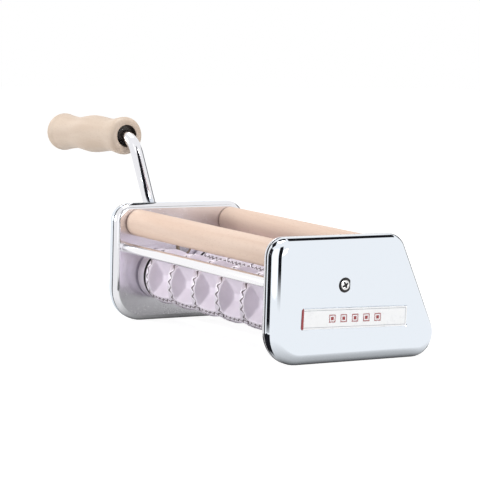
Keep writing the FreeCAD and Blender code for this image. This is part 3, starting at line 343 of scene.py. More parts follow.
marks_range = ranged(polish_marks, blend_marks, 0.35, 0.85, group_in.outputs["Low"],
                     group_in.outputs["High"])
polish_marks.links.new(marks_range, group_out.inputs["Roughness"])
polish_marks.links.new(blend_marks, group_out.inputs["Height"])


def bright_plate(name, colour, low, high, waviness):
    """Polished plated metal with smudges, hair scratches and a slight waviness."""
    material = new_material(name)
    tree = material.node_tree
    place = node(tree, "TexCoord").outputs["Object"]
    marks = use_group(tree, polish_marks, Position=place, Low=low, High=high)
    bump = node(tree, "Bump", {"Height": marks.outputs["Height"], "Strength": waviness,
                               "Distance": 0.0001})
    metal = node(tree, "BsdfPrincipled", {"Base Color": (*colour, 1), "Metallic": 1.0,
                                          "Roughness": marks.outputs["Roughness"],
                                          "Normal": bump.outputs[0]})
    node(tree, "OutputMaterial", {"Surface": metal.outputs[0]})
    return material


pan_chrome = bright_plate("pan_chrome", (0.83, 0.83, 0.86), 0.07, 0.15, 0.03)
pan_inside = bright_plate("pan_inside", (0.8, 0.79, 0.83), 0.2, 0.32, 0.06)
pan_round = 4.4
for end_name, end in (("gear_end", 1), ("crank_end", -1)):
    pan = Skin(end)
    rings = []
    for degrees in range(0, 91, 9):
        t = math.radians(degrees)
        rings.append((pan_round * (1 - math.cos(t)), pan_round * (1 - math.sin(t)), 180 - degrees))
    rings += [(4.7, 0, 90), (4.92, 0.09, 45), (5, 0.35, 0), (5, 0.9, 0), (4.9, 1.15, -60),
              (2, 1.2, -90)]
    rows = pan.loft(rings)
    pan.face(tuple(rows[0][::-1]), 1)
    side_plate = pan.finished(f"side_pan_{end_name}", [pan_chrome, pan_inside])
    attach(side_plate, "frame")
    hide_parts(f"side_plate_{end_name}")


# End covers. Each is a deep drawn steel shell with a broad rolled edge and bright plating, its
# joggled rim plugged into the pan. The gear end has a dished seat for one screw and a label recess.
cover_face = 17.5
cover_round = 9.6
seam_start = 6.6
screw_y = -19.5
screw_z = 62.13
seat_radius = 5.9
seat_flat = 4.9
label_y = -8.5
label_z = 36
label_half_width = 51
label_half_height = 8.1
label_corner = 1.6
label_tilt = math.radians(1.1)


def smooth_step(low, high, number):
    """0 below low, 1 above high, smooth between."""
    t = min(max((number - low) / (high - low), 0), 1)
    return t * t * (3 - 2 * t)


def label_distance(y, z):
    """Distance outside the label's rounded edge, negative inside it."""
    along = (y - label_y) * math.cos(label_tilt) - (z - label_z) * math.sin(label_tilt)
    above = (y - label_y) * math.sin(label_tilt) + (z - label_z) * math.cos(label_tilt)
    a = abs(along) - label_half_width + label_corner
    b = abs(above) - label_half_height + label_corner
    return math.hypot(max(a, 0), max(b, 0)) + min(max(a, b), 0) - label_corner


def seat_distance(y, z):
    """Distance outside the screw's D-shaped seat, which is flat towards the rear."""
    return max(math.hypot(y - screw_y, z - screw_z) - seat_radius, y - screw_y - seat_flat)


def face_height(y, z):
    """How far the gear end cover's face is pressed in, as a negative number."""
    radius = math.hypot(y - screw_y, z - screw_z)
    height = -0.55 * (1 - smooth_step(5.6, 10.8, radius))
    height -= 0.95 * (1 - smooth_step(-0.35, 0.05, seat_distance(y, z)))
    height -= 0.5 * (1 - smooth_step(-0.05, 0.75, label_distance(y, z)))
    return height


def pressed_face(skin, loops, height, paint=lambda y, z: 0):
    """Triangulates the cover's face through guide loops, presses it in and paints it."""
    outline = [tuple(p) for p, way in plate_loop(cover_round)]
    places = list(outline)
    edges = [(k, (k + 1) % len(outline)) for k in range(len(outline))]
    for loop in loops:
        first = len(places)
        places += loop
        edges += [(first + k, first + (k + 1) % len(loop)) for k in range(len(loop))]
    flat = geometry.delaunay_2d_cdt([Vector(p) for p in places], edges, [], 0, 1e-4)
    points = flat[0]
    triangles = flat[2]
    numbers = []
    tiny = 0.02
    for p in points:
        slope_y = (height(p.x + tiny, p.y) - height(p.x - tiny, p.y)) / (2 * tiny)
        slope_z = (height(p.x, p.y + tiny) - height(p.x, p.y - tiny)) / (2 * tiny)
        normal = Vector((1, -slope_y, -slope_z)).normalized()
        numbers.append(skin.point(cover_face + height(p.x, p.y), p.x, p.y, normal))
    for a, b, c in triangles:
        turn_left = (points[b] - points[a]).cross(points[c] - points[a]) > 0
        middle = (points[a] + points[b] + points[c]) / 3
        corners = (a, b, c) if turn_left else (a, c, b)
        skin.face(tuple(numbers[corner] for corner in corners), paint(middle.x, middle.y))


def round_loop(radius, steps=56):
    """Circle round the screw."""
    return [(screw_y + radius * math.cos(2 * math.pi * k / steps),
             screw_z + radius * math.sin(2 * math.pi * k / steps)) for k in range(steps)]


def seat_loop(out):
    """The screw seat's D shape, moved outwards."""
    radius = seat_radius + out
    reach = math.acos((seat_flat + out) / radius)
    angles = [reach + (2 * math.pi - 2 * reach) * k / 40 for k in range(41)]
    return [(screw_y + radius * math.cos(angle), screw_z + radius * math.sin(angle))
            for angle in angles]


def label_loop(out):
    """The label's rounded edge, moved outwards."""
    loop = []
    for quarter in range(4):
        sign_y = 1 if quarter in (0, 3) else -1
        sign_z = 1 if quarter in (0, 1) else -1
        for step in range(7):
            angle = math.radians(90 * quarter + 15 * step)
            reach = label_corner + out
            along = sign_y * (label_half_width - label_corner) + reach * math.cos(angle)
            above = sign_z * (label_half_height - label_corner) + reach * math.sin(angle)
            loop.append((label_y + along * math.cos(label_tilt) + above * math.sin(label_tilt),
                         label_z - along * math.sin(label_tilt) + above * math.cos(label_tilt)))
    return loop


def mixed(tree, share, first, second):
    """Colour between two others."""
    return node(tree, "MixRGB", {"Fac": share, "Color1": first, "Color2": second}).outputs[0]


# Plating over the covers, and a near-black painted shade for seams, screw seats and dark grooves
cover_chrome = bright_plate("cover_chrome", (0.82, 0.87, 0.93), 0.02, 0.07, 0.04)
# Near-black painted shade, a little mottled, standing in for the shadow in gaps and hollows
painted_shade = new_material("painted_shade")
tree = painted_shade.node_tree
shade_noise = node(tree, "TexNoise", {"Vector": node(tree, "TexCoord").outputs["Object"],
                                      "Scale": 900.0})
shade_roughness = ranged(tree, shade_noise.outputs["Fac"], 0, 1, 0.55, 0.85)
shade_colour = mixed(tree, shade_noise.outputs["Fac"], (0.008, 0.008, 0.01, 1), (0.03, 0.026, 0.024, 1))
painted_shade_surface = node(tree, "BsdfPrincipled", {"Base Color": shade_colour, "Roughness": shade_roughness})
node(tree, "OutputMaterial", {"Surface": painted_shade_surface.outputs[0]})

for end_name, end in (("gear_end", 1), ("crank_end", -1)):
    shell = Skin(end)
    rings = [(8, 0.9, -90), (6.85, 0.85, -120), (seam_start, 0.6, 180), (seam_start, 0.35, 180),
             (6.68, 0.09, 135), (6.95, 0, 90), (cover_face - cover_round, 0, 90)]
    for degrees in range(84, -1, -6):
        t = math.radians(degrees)
        rings.append((cover_face - cover_round + cover_round * math.cos(t),
                      cover_round * (1 - math.sin(t)), degrees))
    shell.loft(rings)
    # The rim's band inside the seam takes material 1, which at the gear end is painted shade
    shell.loft([(3.4, 1.45, 90), (8.4, 1.45, 90)], paint=1)
    if end > 0:
        loops = [round_loop(r) for r in (10.9, 10.2, 9.5, 8.8, 8.1, 7.4, 6.8)]
        loops += [seat_loop(0.06), seat_loop(-0.36), seat_loop(-1.0)]
        loops += [label_loop(out) for out in (0.78, 0.6, 0.4, 0.2, -0.07)]
        # The screw seat takes material 1, painted dark as shade
        pressed_face(shell, loops, face_height,
                     lambda y, z: 1 if seat_distance(y, z) < 0 else 0)
    else:
        pressed_face(shell, [], lambda y, z: 0.0)
    # Painted shade in the gear end's seam and seat; the crank end's seam stays chrome
    seam_material = painted_shade if end > 0 else cover_chrome
    cover = shell.finished(f"end_cover_{end_name}", [cover_chrome, seam_material])
    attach(cover, "frame")
    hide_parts(f"cover_{end_name}")


# Label. A thin white plate in the gear end cover's recess, printed with a grey line round its
# edge and a plain row of small cushions with toothed borders.
cushion_pitch = 5.5
tooth_waves = 5.2
tooth_swing = 0.22
label_print = new_material("label_print")
tree = label_print.node_tree
place = node(tree, "SeparateXYZ", {"Vector": node(tree, "TexCoord").outputs["Object"]})
along = math_node(tree, "MULTIPLY_ADD", place.outputs["Y"], 1000.0, -label_y)
above = math_node(tree, "MULTIPLY_ADD", place.outputs["Z"], 1000.0, -label_z)
above = math_node(tree, "MULTIPLY_ADD", along, math.tan(label_tilt), above)
cell = math_node(tree, "PINGPONG", along, cushion_pitch)
wave = math_node(tree, "SINE", math_node(tree, "MULTIPLY", above, tooth_waves))
tooth = math_node(tree, "MULTIPLY", wave, tooth_swing)
wave_along = math_node(tree, "SINE", math_node(tree, "MULTIPLY", along, tooth_waves))
tooth_along = math_node(tree, "MULTIPLY", wave_along, tooth_swing)
far_along = math_node(tree, "ABSOLUTE", along)
far_above = math_node(tree, "ABSOLUTE", above)
half_along = math_node(tree, "ADD", cell, tooth)
half_above = math_node(tree, "ADD", far_above, tooth_along)
square = math_node(tree, "MAXIMUM", half_along, half_above)
inside = math_node(tree, "LESS_THAN", square, 3.1)
centre_gap = math_node(tree, "GREATER_THAN", square, 2.3)
cushion = math_node(tree, "LESS_THAN", math_node(tree, "MAXIMUM", cell, far_above), 1.35)
motif = math_node(tree, "MAXIMUM", math_node(tree, "MULTIPLY", inside, centre_gap), cushion)
row_end = math_node(tree, "LESS_THAN", far_along, 27.4)
motif = math_node(tree, "MULTIPLY", motif, row_end)
end_bar = math_node(tree, "LESS_THAN", along, 1.9 - label_half_width)
motif = math_node(tree, "MAXIMUM", motif, end_bar)
line_inset = 1.5
line_along = math_node(tree, "SUBTRACT", far_along, label_half_width - line_inset)
line_above = math_node(tree, "SUBTRACT", far_above, label_half_height - line_inset)
edge_line = math_node(tree, "MAXIMUM", line_along, line_above)
edge_line = math_node(tree, "LESS_THAN", math_node(tree, "ABSOLUTE", edge_line), 0.22)
speck = node(tree, "TexNoise", {"Vector": node(tree, "TexCoord").outputs["Object"],
                                "Scale": 260.0, "Detail": 4.0})
white = mixed(tree, speck.outputs["Fac"], (0.9, 0.91, 0.92, 1), (0.95, 0.955, 0.96, 1))
lined = mixed(tree, edge_line, white, (0.42, 0.43, 0.46, 1))
printed = mixed(tree, motif, lined, (0.33, 0.05, 0.055, 1))
gloss = ranged(tree, speck.outputs["Fac"], 0, 1, 0.22, 0.36)
plate_paint = node(tree, "BsdfPrincipled", {"Base Color": printed, "Roughness": gloss})
node(tree, "OutputMaterial", {"Surface": plate_paint.outputs[0]})

plaque = Skin(1)
plaque_face = cover_face - 0.15
plaque_rows = []
for out, height, lean in ((-0.1, -0.33, 90), (-0.1, -0.1, 90), (-0.18, -0.02, 45), (-0.3, 0, 0)):
    loop = label_loop(out)
    row = []
    for k, (y, z) in enumerate(loop):
        ahead = Vector(loop[(k + 1) % len(loop)]) - Vector(loop[k - 1])
        way = Vector((ahead.y, -ahead.x)).normalized()
        tilt = math.radians(lean)
        row.append(plaque.point(plaque_face + height, y, z,
                                (math.cos(tilt), math.sin(tilt) * way.x, math.sin(tilt) * way.y)))
    plaque_rows.append(row)
for low, high in zip(plaque_rows, plaque_rows[1:]):
    plaque.join(low, high)
plaque.face(tuple(plaque_rows[-1]))
label = plaque.finished("label", [label_print])
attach(label, "frame")
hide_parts("label_plate")


# Cover screws. Nickel-plated steel screws with a domed head and a cross recess; one holds the gear
# end cover in its dished seat, two hold the crank end cover.
screw_nickel = bright_plate("screw_nickel", (0.8, 0.79, 0.78), 0.16, 0.34, 0.2)


head_radius = 4.85
head_height = 2
head_steps = 96


def recess_depth(a, b):
    """Depth of the cross recess at a place on the head."""
    long_arm = max(abs(a), abs(b))
    short_arm = min(abs(a), abs(b))
    arm = (1 - smooth_step(0.45, 0.8, short_arm)) * (1 - smooth_step(2.3, 3.0, long_arm))
    heart = 1 - smooth_step(0.9, 1.6, math.hypot(a, b))
    return 1.15 * max(arm, heart * 0.9)


def cross_screw(name, end, y, z, seat, spin):
    """Domed head on its seat, with the cross turned by spin."""
    screw = Skin(end)
    stations = [(head_radius - 0.25, 0, 0), (head_radius, 0.25, 0), (head_radius, 1.2, 0)]
    radii = [4.75, 4.5, 4.2, 3.8, 3.4, 3.1, 2.9, 2.7, 2.5, 2.3, 2.0, 1.7, 1.45, 1.2, 1.0, 0.8,
             0.6, 0.4, 0.2]
    stations += [(r, head_height - 0.8 * (r / head_radius) ** 2, 1) for r in radii]
    rows = []
    for radius, height, cut in stations:
        row = []
        for k in range(head_steps):
            angle = 2 * math.pi * k / head_steps
            a = radius * math.cos(angle)
            b = radius * math.sin(angle)
            drop = recess_depth(a, b) if cut else 0
            ay = a * math.cos(spin) - b * math.sin(spin)
            az = a * math.sin(spin) + b * math.cos(spin)
            row.append(screw.point(seat + height - drop, y + ay, z + az, (0, 0, 0)))
        rows.append(row)
    for number, (low, high) in enumerate(zip(rows, rows[1:])):
        for k in range(head_steps):
            after = (k + 1) % head_steps
            angle = 2 * math.pi * (k + 0.5) / head_steps
            radius = (stations[number][0] + stations[number + 1][0]) / 2
            cut = recess_depth(radius * math.cos(angle), radius * math.sin(angle))
            # The outer flank and the cross recess take material 1, painted dark as shade
            screw.face((low[k], low[after], high[after], high[k]),
                       1 if radius > 3.9 or cut > 0.3 else 0)
    screw.face(tuple(rows[-1]), 1)
    made = screw.finished(name, [screw_nickel, painted_shade], sharp=50)
    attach(made, "frame")
    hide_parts(name.replace("head", "screw"))


cross_screw("cover_head_gear_end", 1, screw_y, screw_z, cover_face - 1.5, 0.5)
cross_screw("cover_head_upper", -1, -19.5, 85, cover_face, 0.2)
cross_screw("cover_head_lower", -1, 44, 22, cover_face, 1.0)


# Wooden feed rollers. Two turned beech dowels, sanded and left bare, run on steel stub pins and
# carry the dough sheets down to the moulds.
def ring_of_points(shape, middle, side, other, radius, steps):
    """Vertices of a circle about a point."""
    row = []
    for k in range(steps):
        angle = 2 * math.pi * k / steps
        spoke = side * math.cos(angle) + other * math.sin(angle)
        row.append(shape.verts.new((middle + radius * spoke) * mm))
    return row


def smooth_piece(name, shape, sharp):
    """Object from a built shape, smooth except along its sharp edges."""
    bmesh.ops.recalc_face_normals(shape, faces=shape.faces)
    mesh = bpy.data.meshes.new(name)
    shape.to_mesh(mesh)
    shape.free()
    mesh.shade_smooth()
    mesh.set_sharp_from_angle(angle=math.radians(sharp))
    return in_scene(name, mesh)


def turned_piece(name, profile, start, way, steps=64, sharp=35):
    """Piece turned about a line through start, its profile as distance along and radius, in mm."""
    axis = Vector(way).normalized()
    side = axis.cross(Vector((0, 0, 1))).normalized()
    other = axis.cross(side)
    shape = bmesh.new()
    rows = []
    for distance, radius in profile:
        middle = Vector(start) + axis * distance
        if radius < 1e-6:
            rows.append([shape.verts.new(middle * mm)])
        else:
            rows.append(ring_of_points(shape, middle, side, other, radius, steps))
    for low, high in zip(rows, rows[1:]):
        for k in range(steps):
            corners = [low[k % len(low)], low[(k + 1) % len(low)], high[(k + 1) % len(high)],
                       high[k % len(high)]]
            corners = list(dict.fromkeys(corners))
            if len(corners) > 2:
                shape.faces.new(corners)
    return smooth_piece(name, shape, sharp)


def rounded_rod(half, radius, edge):
    """Profile of a plain rod with rounded ends, closed at both ends."""
    corner = []
    for degrees in range(0, 91, 15):
        t = math.radians(degrees)
        corner.append((half - edge + edge * math.cos(t), radius - edge + edge * math.sin(t)))
    return [(half, 0)] + corner + [(-x, r) for x, r in reversed(corner)] + [(-half, 0)]


# Growth rings cut lengthwise, short dark flecks and fine pores of sanded beech
beech_grain, group_in, group_out = new_group(
    "beech_grain",
    [("Position", "Vector", None), ("Pale", "Color", (0.8, 0.62, 0.5, 1)),
     ("Deep", "Color", (0.7, 0.5, 0.38, 1)), ("Fleck", "Color", (0.5, 0.33, 0.24, 1))],
    [("Color", "Color"), ("Roughness", "Float"), ("Height", "Float")])
long_place = node(beech_grain, "Mapping", {"Vector": group_in.outputs["Position"],
                                           "Scale": (7, 90, 90)})
bands = node(beech_grain, "TexNoise", {"Vector": long_place.outputs[0], "Scale": 1.0, "Detail": 5.0,
                                       "Roughness": 0.55, "Distortion": 0.6})
band_range = ranged(beech_grain, bands.outputs["Fac"], 0.35, 0.7)
fleck_place = node(beech_grain, "Mapping", {"Vector": group_in.outputs["Position"],
                                            "Scale": (170, 1500, 1500)})
flecks = node(beech_grain, "TexVoronoi", {"Vector": fleck_place.outputs[0], "Scale": 1.0})
fleck_range = ranged(beech_grain, flecks.outputs["Distance"], 0.3, 0.12)
pore_place = node(beech_grain, "Mapping", {"Vector": group_in.outputs["Position"],
                                           "Scale": (300, 4000, 4000)})
pores = node(beech_grain, "TexNoise", {"Vector": pore_place.outputs[0], "Scale": 1.0, "Detail": 2.0})
wood_tone = mixed(beech_grain, band_range, group_in.outputs["Pale"], group_in.outputs["Deep"])
fleck_share = math_node(beech_grain, "MULTIPLY", fleck_range, 0.45)
fleck_tone = mixed(beech_grain, fleck_share, wood_tone, group_in.outputs["Fleck"])
wood_rough = ranged(beech_grain, pores.outputs["Fac"], 0, 1, 0.5, 0.72)
grain_height = math_node(beech_grain, "MULTIPLY_ADD", fleck_range, -0.6, pores.outputs["Fac"])
beech_grain.links.new(fleck_tone, group_out.inputs["Color"])
beech_grain.links.new(wood_rough, group_out.inputs["Roughness"])
beech_grain.links.new(grain_height, group_out.inputs["Height"])


def beech(name, pale, deep, fleck, coat):
    """Sanded beech, bare or with a thin matt lacquer."""
    material = new_material(name)
    tree = material.node_tree
    grain = use_group(tree, beech_grain, Position=node(tree, "TexCoord").outputs["Object"],
                      Pale=(*pale, 1), Deep=(*deep, 1), Fleck=(*fleck, 1))
    bump = node(tree, "Bump", {"Height": grain.outputs["Height"], "Strength": 0.25,
                               "Distance": 0.0002})
    wood = node(tree, "BsdfPrincipled", {"Base Color": grain.outputs["Color"],
                                         "Roughness": grain.outputs["Roughness"],
                                         "Coat Weight": coat, "Coat Roughness": 0.35,
                                         "Normal": bump.outputs[0]})
    node(tree, "OutputMaterial", {"Surface": wood.outputs[0]})
    return material


bare_beech = beech("bare_beech", (0.8, 0.62, 0.51), (0.73, 0.54, 0.43), (0.58, 0.4, 0.3), 0.05)
wood_half_length = 107
wood_radius = 11.25
wood_edge = 0.9
wood_height = 84.4
for row_name, wood_y in (("front", -67.2), ("rear", 25.8)):
    dowel = turned_piece(f"feed_roller_{row_name}",
                         rounded_rod(wood_half_length, wood_radius, wood_edge),
                         (0, wood_y, wood_height), (1, 0, 0))
    dowel.data.materials.append(bare_beech)
    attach(dowel, f"{row_name}_wood")
    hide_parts(f"wood_roller_{row_name}")


# Mould rollers. Two cast light-alloy rollers with a satin finish, each with five barrel-shaped
# columns and four rows of sunk pockets; toothed ridges between the pockets crimp and cut the dough.
mould_columns = 5
mould_pitch = 35.6
mould_edge = mould_columns * mould_pitch / 2
mould_half_length = 106.2
mould_tip = 24.5
mould_crown = 1.9
mould_floor = 13
mould_floor_length = 8
mould_floor_width = 3
mould_ridge = 6.3
mould_margin = 21.4
rim_length = (mould_pitch - mould_ridge) / 2
rim_length_height = mould_tip - mould_crown * (2 * rim_length / mould_pitch) ** 2
rim_turn = math.pi / 4 - mould_ridge / (2 * mould_tip)
slope_long = (rim_length - mould_floor_length) / (rim_length_height - mould_floor)
slope_round = ((mould_tip * math.sin(rim_turn) - mould_floor_width)
               / (mould_tip * math.cos(rim_turn) - mould_floor))


def soft_larger(a, b, width):
    """Larger of two numbers, rounded over where they meet."""
    mix = min(max(0.5 + 0.5 * (a - b) / width, 0), 1)
    return b + (a - b) * mix + width * mix * (1 - mix)


def zigzag(place, period, swing):
    """Toothed line about zero, its teeth a little rounded."""
    phase = place / period % 1
    wave = 4 * abs(phase - 0.5) - 1
    return -swing * wave * (1.12 - 0.12 * wave * wave)


ring_tooth = math.pi / 10
bar_tooth = mould_pitch / 6
mould_swing = 1.8
bar_swing = mould_swing * 0.7
groove_depth = 0.6
lip_reach = 3
end_groove_depth = 2.2
end_groove_reach = 8
end_chamfer = 0.4


def groove_distance(x, turn):
    """Distance along the surface from the nearest toothed groove."""
    ring = round(x / mould_pitch - 0.5) + 0.5
    ring_near = abs(x - ring * mould_pitch - zigzag(turn, ring_tooth, mould_swing))
    v = (turn + math.pi / 4) % (math.pi / 2) - math.pi / 4
    bar_place = mould_tip * (math.pi / 4 - abs(v)) * (1 if v > 0 else -1)
    bar_near = abs(bar_place + zigzag(x, bar_tooth, bar_swing))
    return min(ring_near, bar_near) if abs(x) < mould_edge else ring_near


def mould_height(x, turn):
    """Radius of the mould roller's surface."""
    rim = abs(x) - mould_edge
    groove = groove_depth * (1 - smooth_step(0.3, 1.1, groove_distance(x, turn)))
    if rim > 0:
        barrel = mould_tip - mould_crown
        surface = mould_margin + (barrel - mould_margin) * (1 - smooth_step(2.6, 3.4, rim))
        surface -= (end_groove_depth * smooth_step(lip_reach, 3.4, rim)
                    * (1 - smooth_step(7.7, 8.1, rim)))
        return surface - groove
    column = min(int((x + mould_edge) / mould_pitch), mould_columns - 1)
    u = x + mould_edge - (column + 0.5) * mould_pitch
    v = (turn + math.pi / 4) % (math.pi / 2) - math.pi / 4
    barrel = mould_tip - mould_crown * (2 * u / mould_pitch) ** 2
    long_wall = (mould_floor + (abs(u) - mould_floor_length) / slope_long) / math.cos(v)
    steep = slope_round * math.cos(v) - math.sin(abs(v))
    round_wall = (mould_floor * slope_round - mould_floor_width) / steep if steep > 0.05 else 60
    walls = min(soft_larger(long_wall, round_wall, 0.5), 60)
    pocket = soft_larger(mould_floor / math.cos(v), walls, 0.5)
    return -soft_larger(-barrel, -pocket, 0.35) - groove


def mould_stations():
    """Places along the roller, close together at the toothed rings."""
    places = [-mould_half_length, -106.0, -104, -100] + [-97.7 + 0.3 * k for k in range(29)]
    for column in range(mould_columns):
        start = (column - mould_columns / 2) * mould_pitch
        places += [start + 0.28 * k for k in range(13)]
        places += [start + 3.7 + (mould_pitch - 7.4) * k / 30 for k in range(31)]
        places += [start + mould_pitch - 3.36 + 0.28 * k for k in range(12)]
    places += [89 + 0.3 * k for k in range(30)] + [100, 104, 106.0, mould_half_length]
    return places


def mould_paint(x, turn):
    """Material: 0 alloy, 1 toothed groove and 3 end groove painted shade, 2 lips painted highlight."""
    rim = abs(x) - mould_edge
    if rim < lip_reach:
        near = groove_distance(x, turn)
        return 1 if near < 0.95 else 2 if near < 1.9 else 0
    return 3 if 5.2 < rim < end_groove_reach else 0


def mould_piece(name, y, z, turn):
    """Height field wrapped round the roller's axis, closed by flat ends."""
    angles = []
    for quarter in range(4):
        middle = quarter * math.pi / 2
        half = math.pi / 4
        near = 3.6 / mould_tip
        far = 2 * half - 2 * near
        angles += [middle - half + near * k / 13 for k in range(13)]
        angles += [middle - half + near + far * k / 52 for k in range(52)]
        angles += [middle + half - near + near * k / 13 for k in range(13)]
    points = []
    places = mould_stations()
    for x in places:
        for angle in angles:
            radius = mould_height(x, angle)
            if abs(x) == mould_half_length:
                radius -= end_chamfer
            real = angle + turn
            points.append(Vector((x, y - radius * math.cos(real), z + radius * math.sin(real))) * mm)
    faces = []
    paints = []
    count = len(angles)
    for i in range(len(places) - 1):
        for k in range(count):
            after = (k + 1) % count
            faces.append((i * count + k, (i + 1) * count + k, (i + 1) * count + after,
                          i * count + after))
            middle = angles[k] + ((angles[after] - angles[k]) % (2 * math.pi)) / 2
            paints.append(mould_paint((places[i] + places[i + 1]) / 2, middle))
    for first, x in ((0, places[0]), ((len(places) - 1) * count, places[-1])):
        hub = len(points)
        points.append(Vector((x, y, z)) * mm)
        for k in range(count):
            after = (k + 1) % count
            faces.append((first + k, first + after, hub) if x < 0 else (first + after, first + k, hub))
    mesh = bpy.data.meshes.new(name)
    mesh.from_pydata(points, [], faces)
    for polygon, paint in zip(mesh.polygons, paints):
        polygon.material_index = paint
    mesh.shade_smooth()
    mesh.set_sharp_from_angle(angle=math.radians(50))
    return in_scene(name, mesh)


# Fine cast grain under a satin finish, a little darker in places
cast_grain, group_in, group_out = new_group(
    "cast_grain",
    [("Position", "Vector", None), ("Light", "Color", (0.7, 0.64, 0.7, 1)),
     ("Dark", "Color", (0.6, 0.54, 0.6, 1)), ("Low", "Float", 0.35), ("High", "Float", 0.5)],
    [("Color", "Color"), ("Roughness", "Float"), ("Height", "Float")])
patches = node(cast_grain, "TexNoise", {"Vector": group_in.outputs["Position"], "Scale": 90.0,
                                        "Detail": 3.0})
grit = node(cast_grain, "TexNoise", {"Vector": group_in.outputs["Position"], "Scale": 2600.0,
                                     "Detail": 2.0})
patch_range = ranged(cast_grain, patches.outputs["Fac"], 0.35, 0.65)
cast_tone = mixed(cast_grain, patch_range, group_in.outputs["Light"], group_in.outputs["Dark"])
cast_rough = ranged(cast_grain, grit.outputs["Fac"], 0, 1, group_in.outputs["Low"],
                    group_in.outputs["High"])
cast_grain.links.new(cast_tone, group_out.inputs["Color"])
cast_grain.links.new(cast_rough, group_out.inputs["Roughness"])
cast_grain.links.new(grit.outputs["Fac"], group_out.inputs["Height"])


def satin_metal(name, light, dark, low, high, metallic, bump_strength):
    """Cast or turned metal with a satin surface."""
    material = new_material(name)
    tree = material.node_tree
    grain = use_group(tree, cast_grain, Position=node(tree, "TexCoord").outputs["Object"],
                      Light=(*light, 1), Dark=(*dark, 1), Low=low, High=high)
    bump = node(tree, "Bump", {"Height": grain.outputs["Height"], "Strength": bump_strength,
                               "Distance": 0.0001})
    metal = node(tree, "BsdfPrincipled", {"Base Color": grain.outputs["Color"], "Metallic": metallic,
                                          "Roughness": grain.outputs["Roughness"],
                                          "Normal": bump.outputs[0]})
    node(tree, "OutputMaterial", {"Surface": metal.outputs[0]})
    return material


mould_alloy = satin_metal("mould_alloy", (0.8, 0.735, 0.83), (0.74, 0.675, 0.77), 0.48, 0.6, 0.12,
                          0.12)
# The lips' lighter colour is a painted highlight; their lower roughness stays as polish from wear
mould_lip_highlight = satin_metal("mould_lip_highlight", (0.92, 0.88, 0.94), (0.88, 0.84, 0.91), 0.3, 0.42, 0.2, 0.08)
# The toothed grooves' near-black alloy is painted shade
mould_groove_shade = satin_metal("mould_groove_shade", (0.26, 0.21, 0.25), (0.2, 0.16, 0.19), 0.5, 0.7, 0.15,
                           0.12)
roller_offset = 24.75
mould_axis_z = 40.3
mould_turn = math.radians(2)
mould_middle_y = -19.5
for row_name, row in (("front", -1), ("rear", 1)):
    cast = mould_piece(f"mould_{row_name}", mould_middle_y + row * roller_offset, mould_axis_z,
                       -row * mould_turn)
    # Materials 1 and 3 are painted shade, material 2 a painted highlight
    for finish in (mould_alloy, mould_groove_shade, mould_lip_highlight, painted_shade):
        cast.data.materials.append(finish)
    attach(cast, f"{row_name}_mould")
    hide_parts(f"mould_roller_{row_name}")


# Tie rods. Two plated steel rods hold the side plates apart; nuts inside the covers pull them up.
rod_chrome = bright_plate("rod_chrome", (0.94, 0.93, 0.95), 0.06, 0.14, 0.03)
stay_radius = 4.4
stay_edge = 0.5
stay_height = 63.1
for row_name, rod_y in (("front", -76.5), ("rear", 37.5)):
    stay = turned_piece(f"stay_{row_name}", rounded_rod(side_face, stay_radius, stay_edge),
                        (0, rod_y, stay_height), (1, 0, 0), steps=40)
    stay.data.materials.append(rod_chrome)
    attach(stay, "frame")
    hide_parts(f"tie_rod_{row_name}")


# Crank. A plated steel rod bent twice; its straight end goes into the socket of the pinion shaft,
# where a cross pin turns it, and its other end carries the grip.
axis_y = -19.5
axis_z = 62.128
crank_lean = math.radians(18.4)
crank_droop = math.radians(3.3)
crank_arm = 96.4
crank_leg = 100
crank_bend = 15
crank_radius = 5.5
arm_way = Vector((0, -math.sin(crank_lean), math.cos(crank_lean)))
leg_way = (Vector((-1, 0, 0)) * math.cos(crank_droop) - arm_way * math.sin(crank_droop)).normalized()
lower_corner = Vector((-148.5, axis_y, axis_z))
crank_corner = lower_corner + arm_way * crank_arm
crank_start = Vector((-119.7, axis_y, axis_z))


def rounded_path(points, radius, steps=16):
    """Points of a path whose inner corners are rounded."""
    path = [Vector(points[0])]
    for before, corner, after in zip(points, points[1:], points[2:]):
        back_way = (before - corner).normalized()
        on_way = (after - corner).normalized()
        half = back_way.angle(on_way) / 2
        centre = corner + (back_way + on_way).normalized() * (radius / math.sin(half))
        first = corner + back_way * (radius / math.tan(half)) - centre
        last = corner + on_way * (radius / math.tan(half)) - centre
        sweep = first.angle(last)
        for step in range(steps + 1):
            t = step / steps
            spoke = first * math.sin((1 - t) * sweep) + last * math.sin(t * sweep)
            path.append(centre + spoke / math.sin(sweep))
    path.append(Vector(points[-1]))
    return path


def bent_rod(name, path, radius, flat_normal, steps=36, edge=0.6):
    """Round rod along a path that lies in one plane, its two ends rounded."""
    ways = []
    for k in range(len(path)):
        ways.append((path[min(k + 1, len(path) - 1)] - path[max(k - 1, 0)]).normalized())
    stations = [(path[0], ways[0], radius - edge)]
    stations += [(path[0] + ways[0] * edge, ways[0], radius)]
    stations += [(p, way, radius) for p, way in zip(path[1:-1], ways[1:-1])]
    stations += [(path[-1] - ways[-1] * edge, ways[-1], radius), (path[-1], ways[-1], radius - edge)]
    shape = bmesh.new()
    rows = []
    for middle, way, size in stations:
        side = way.cross(flat_normal).normalized()
        rows.append(ring_of_points(shape, middle, side, flat_normal, size, steps))
    for low, high in zip(rows, rows[1:]):
        for k in range(steps):
            shape.faces.new((low[k], low[(k + 1) % steps], high[(k + 1) % steps], high[k]))
    shape.faces.new(rows[0][::-1])
    shape.faces.new(rows[-1])
    return smooth_piece(name, shape, 50)


crank_chrome = bright_plate("crank_chrome", (0.84, 0.84, 0.87), 0.09, 0.17, 0.02)
rod_path = rounded_path([crank_start, lower_corner, crank_corner, crank_corner + leg_way * crank_leg],
                        crank_bend)
plane_normal = Vector((-1, 0, 0)).cross(arm_way).normalized()
crank = bent_rod("crank_bar", rod_path, crank_radius, plane_normal)
crank.data.materials.append(crank_chrome)
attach(crank, "crank")
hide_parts("crank_rod")
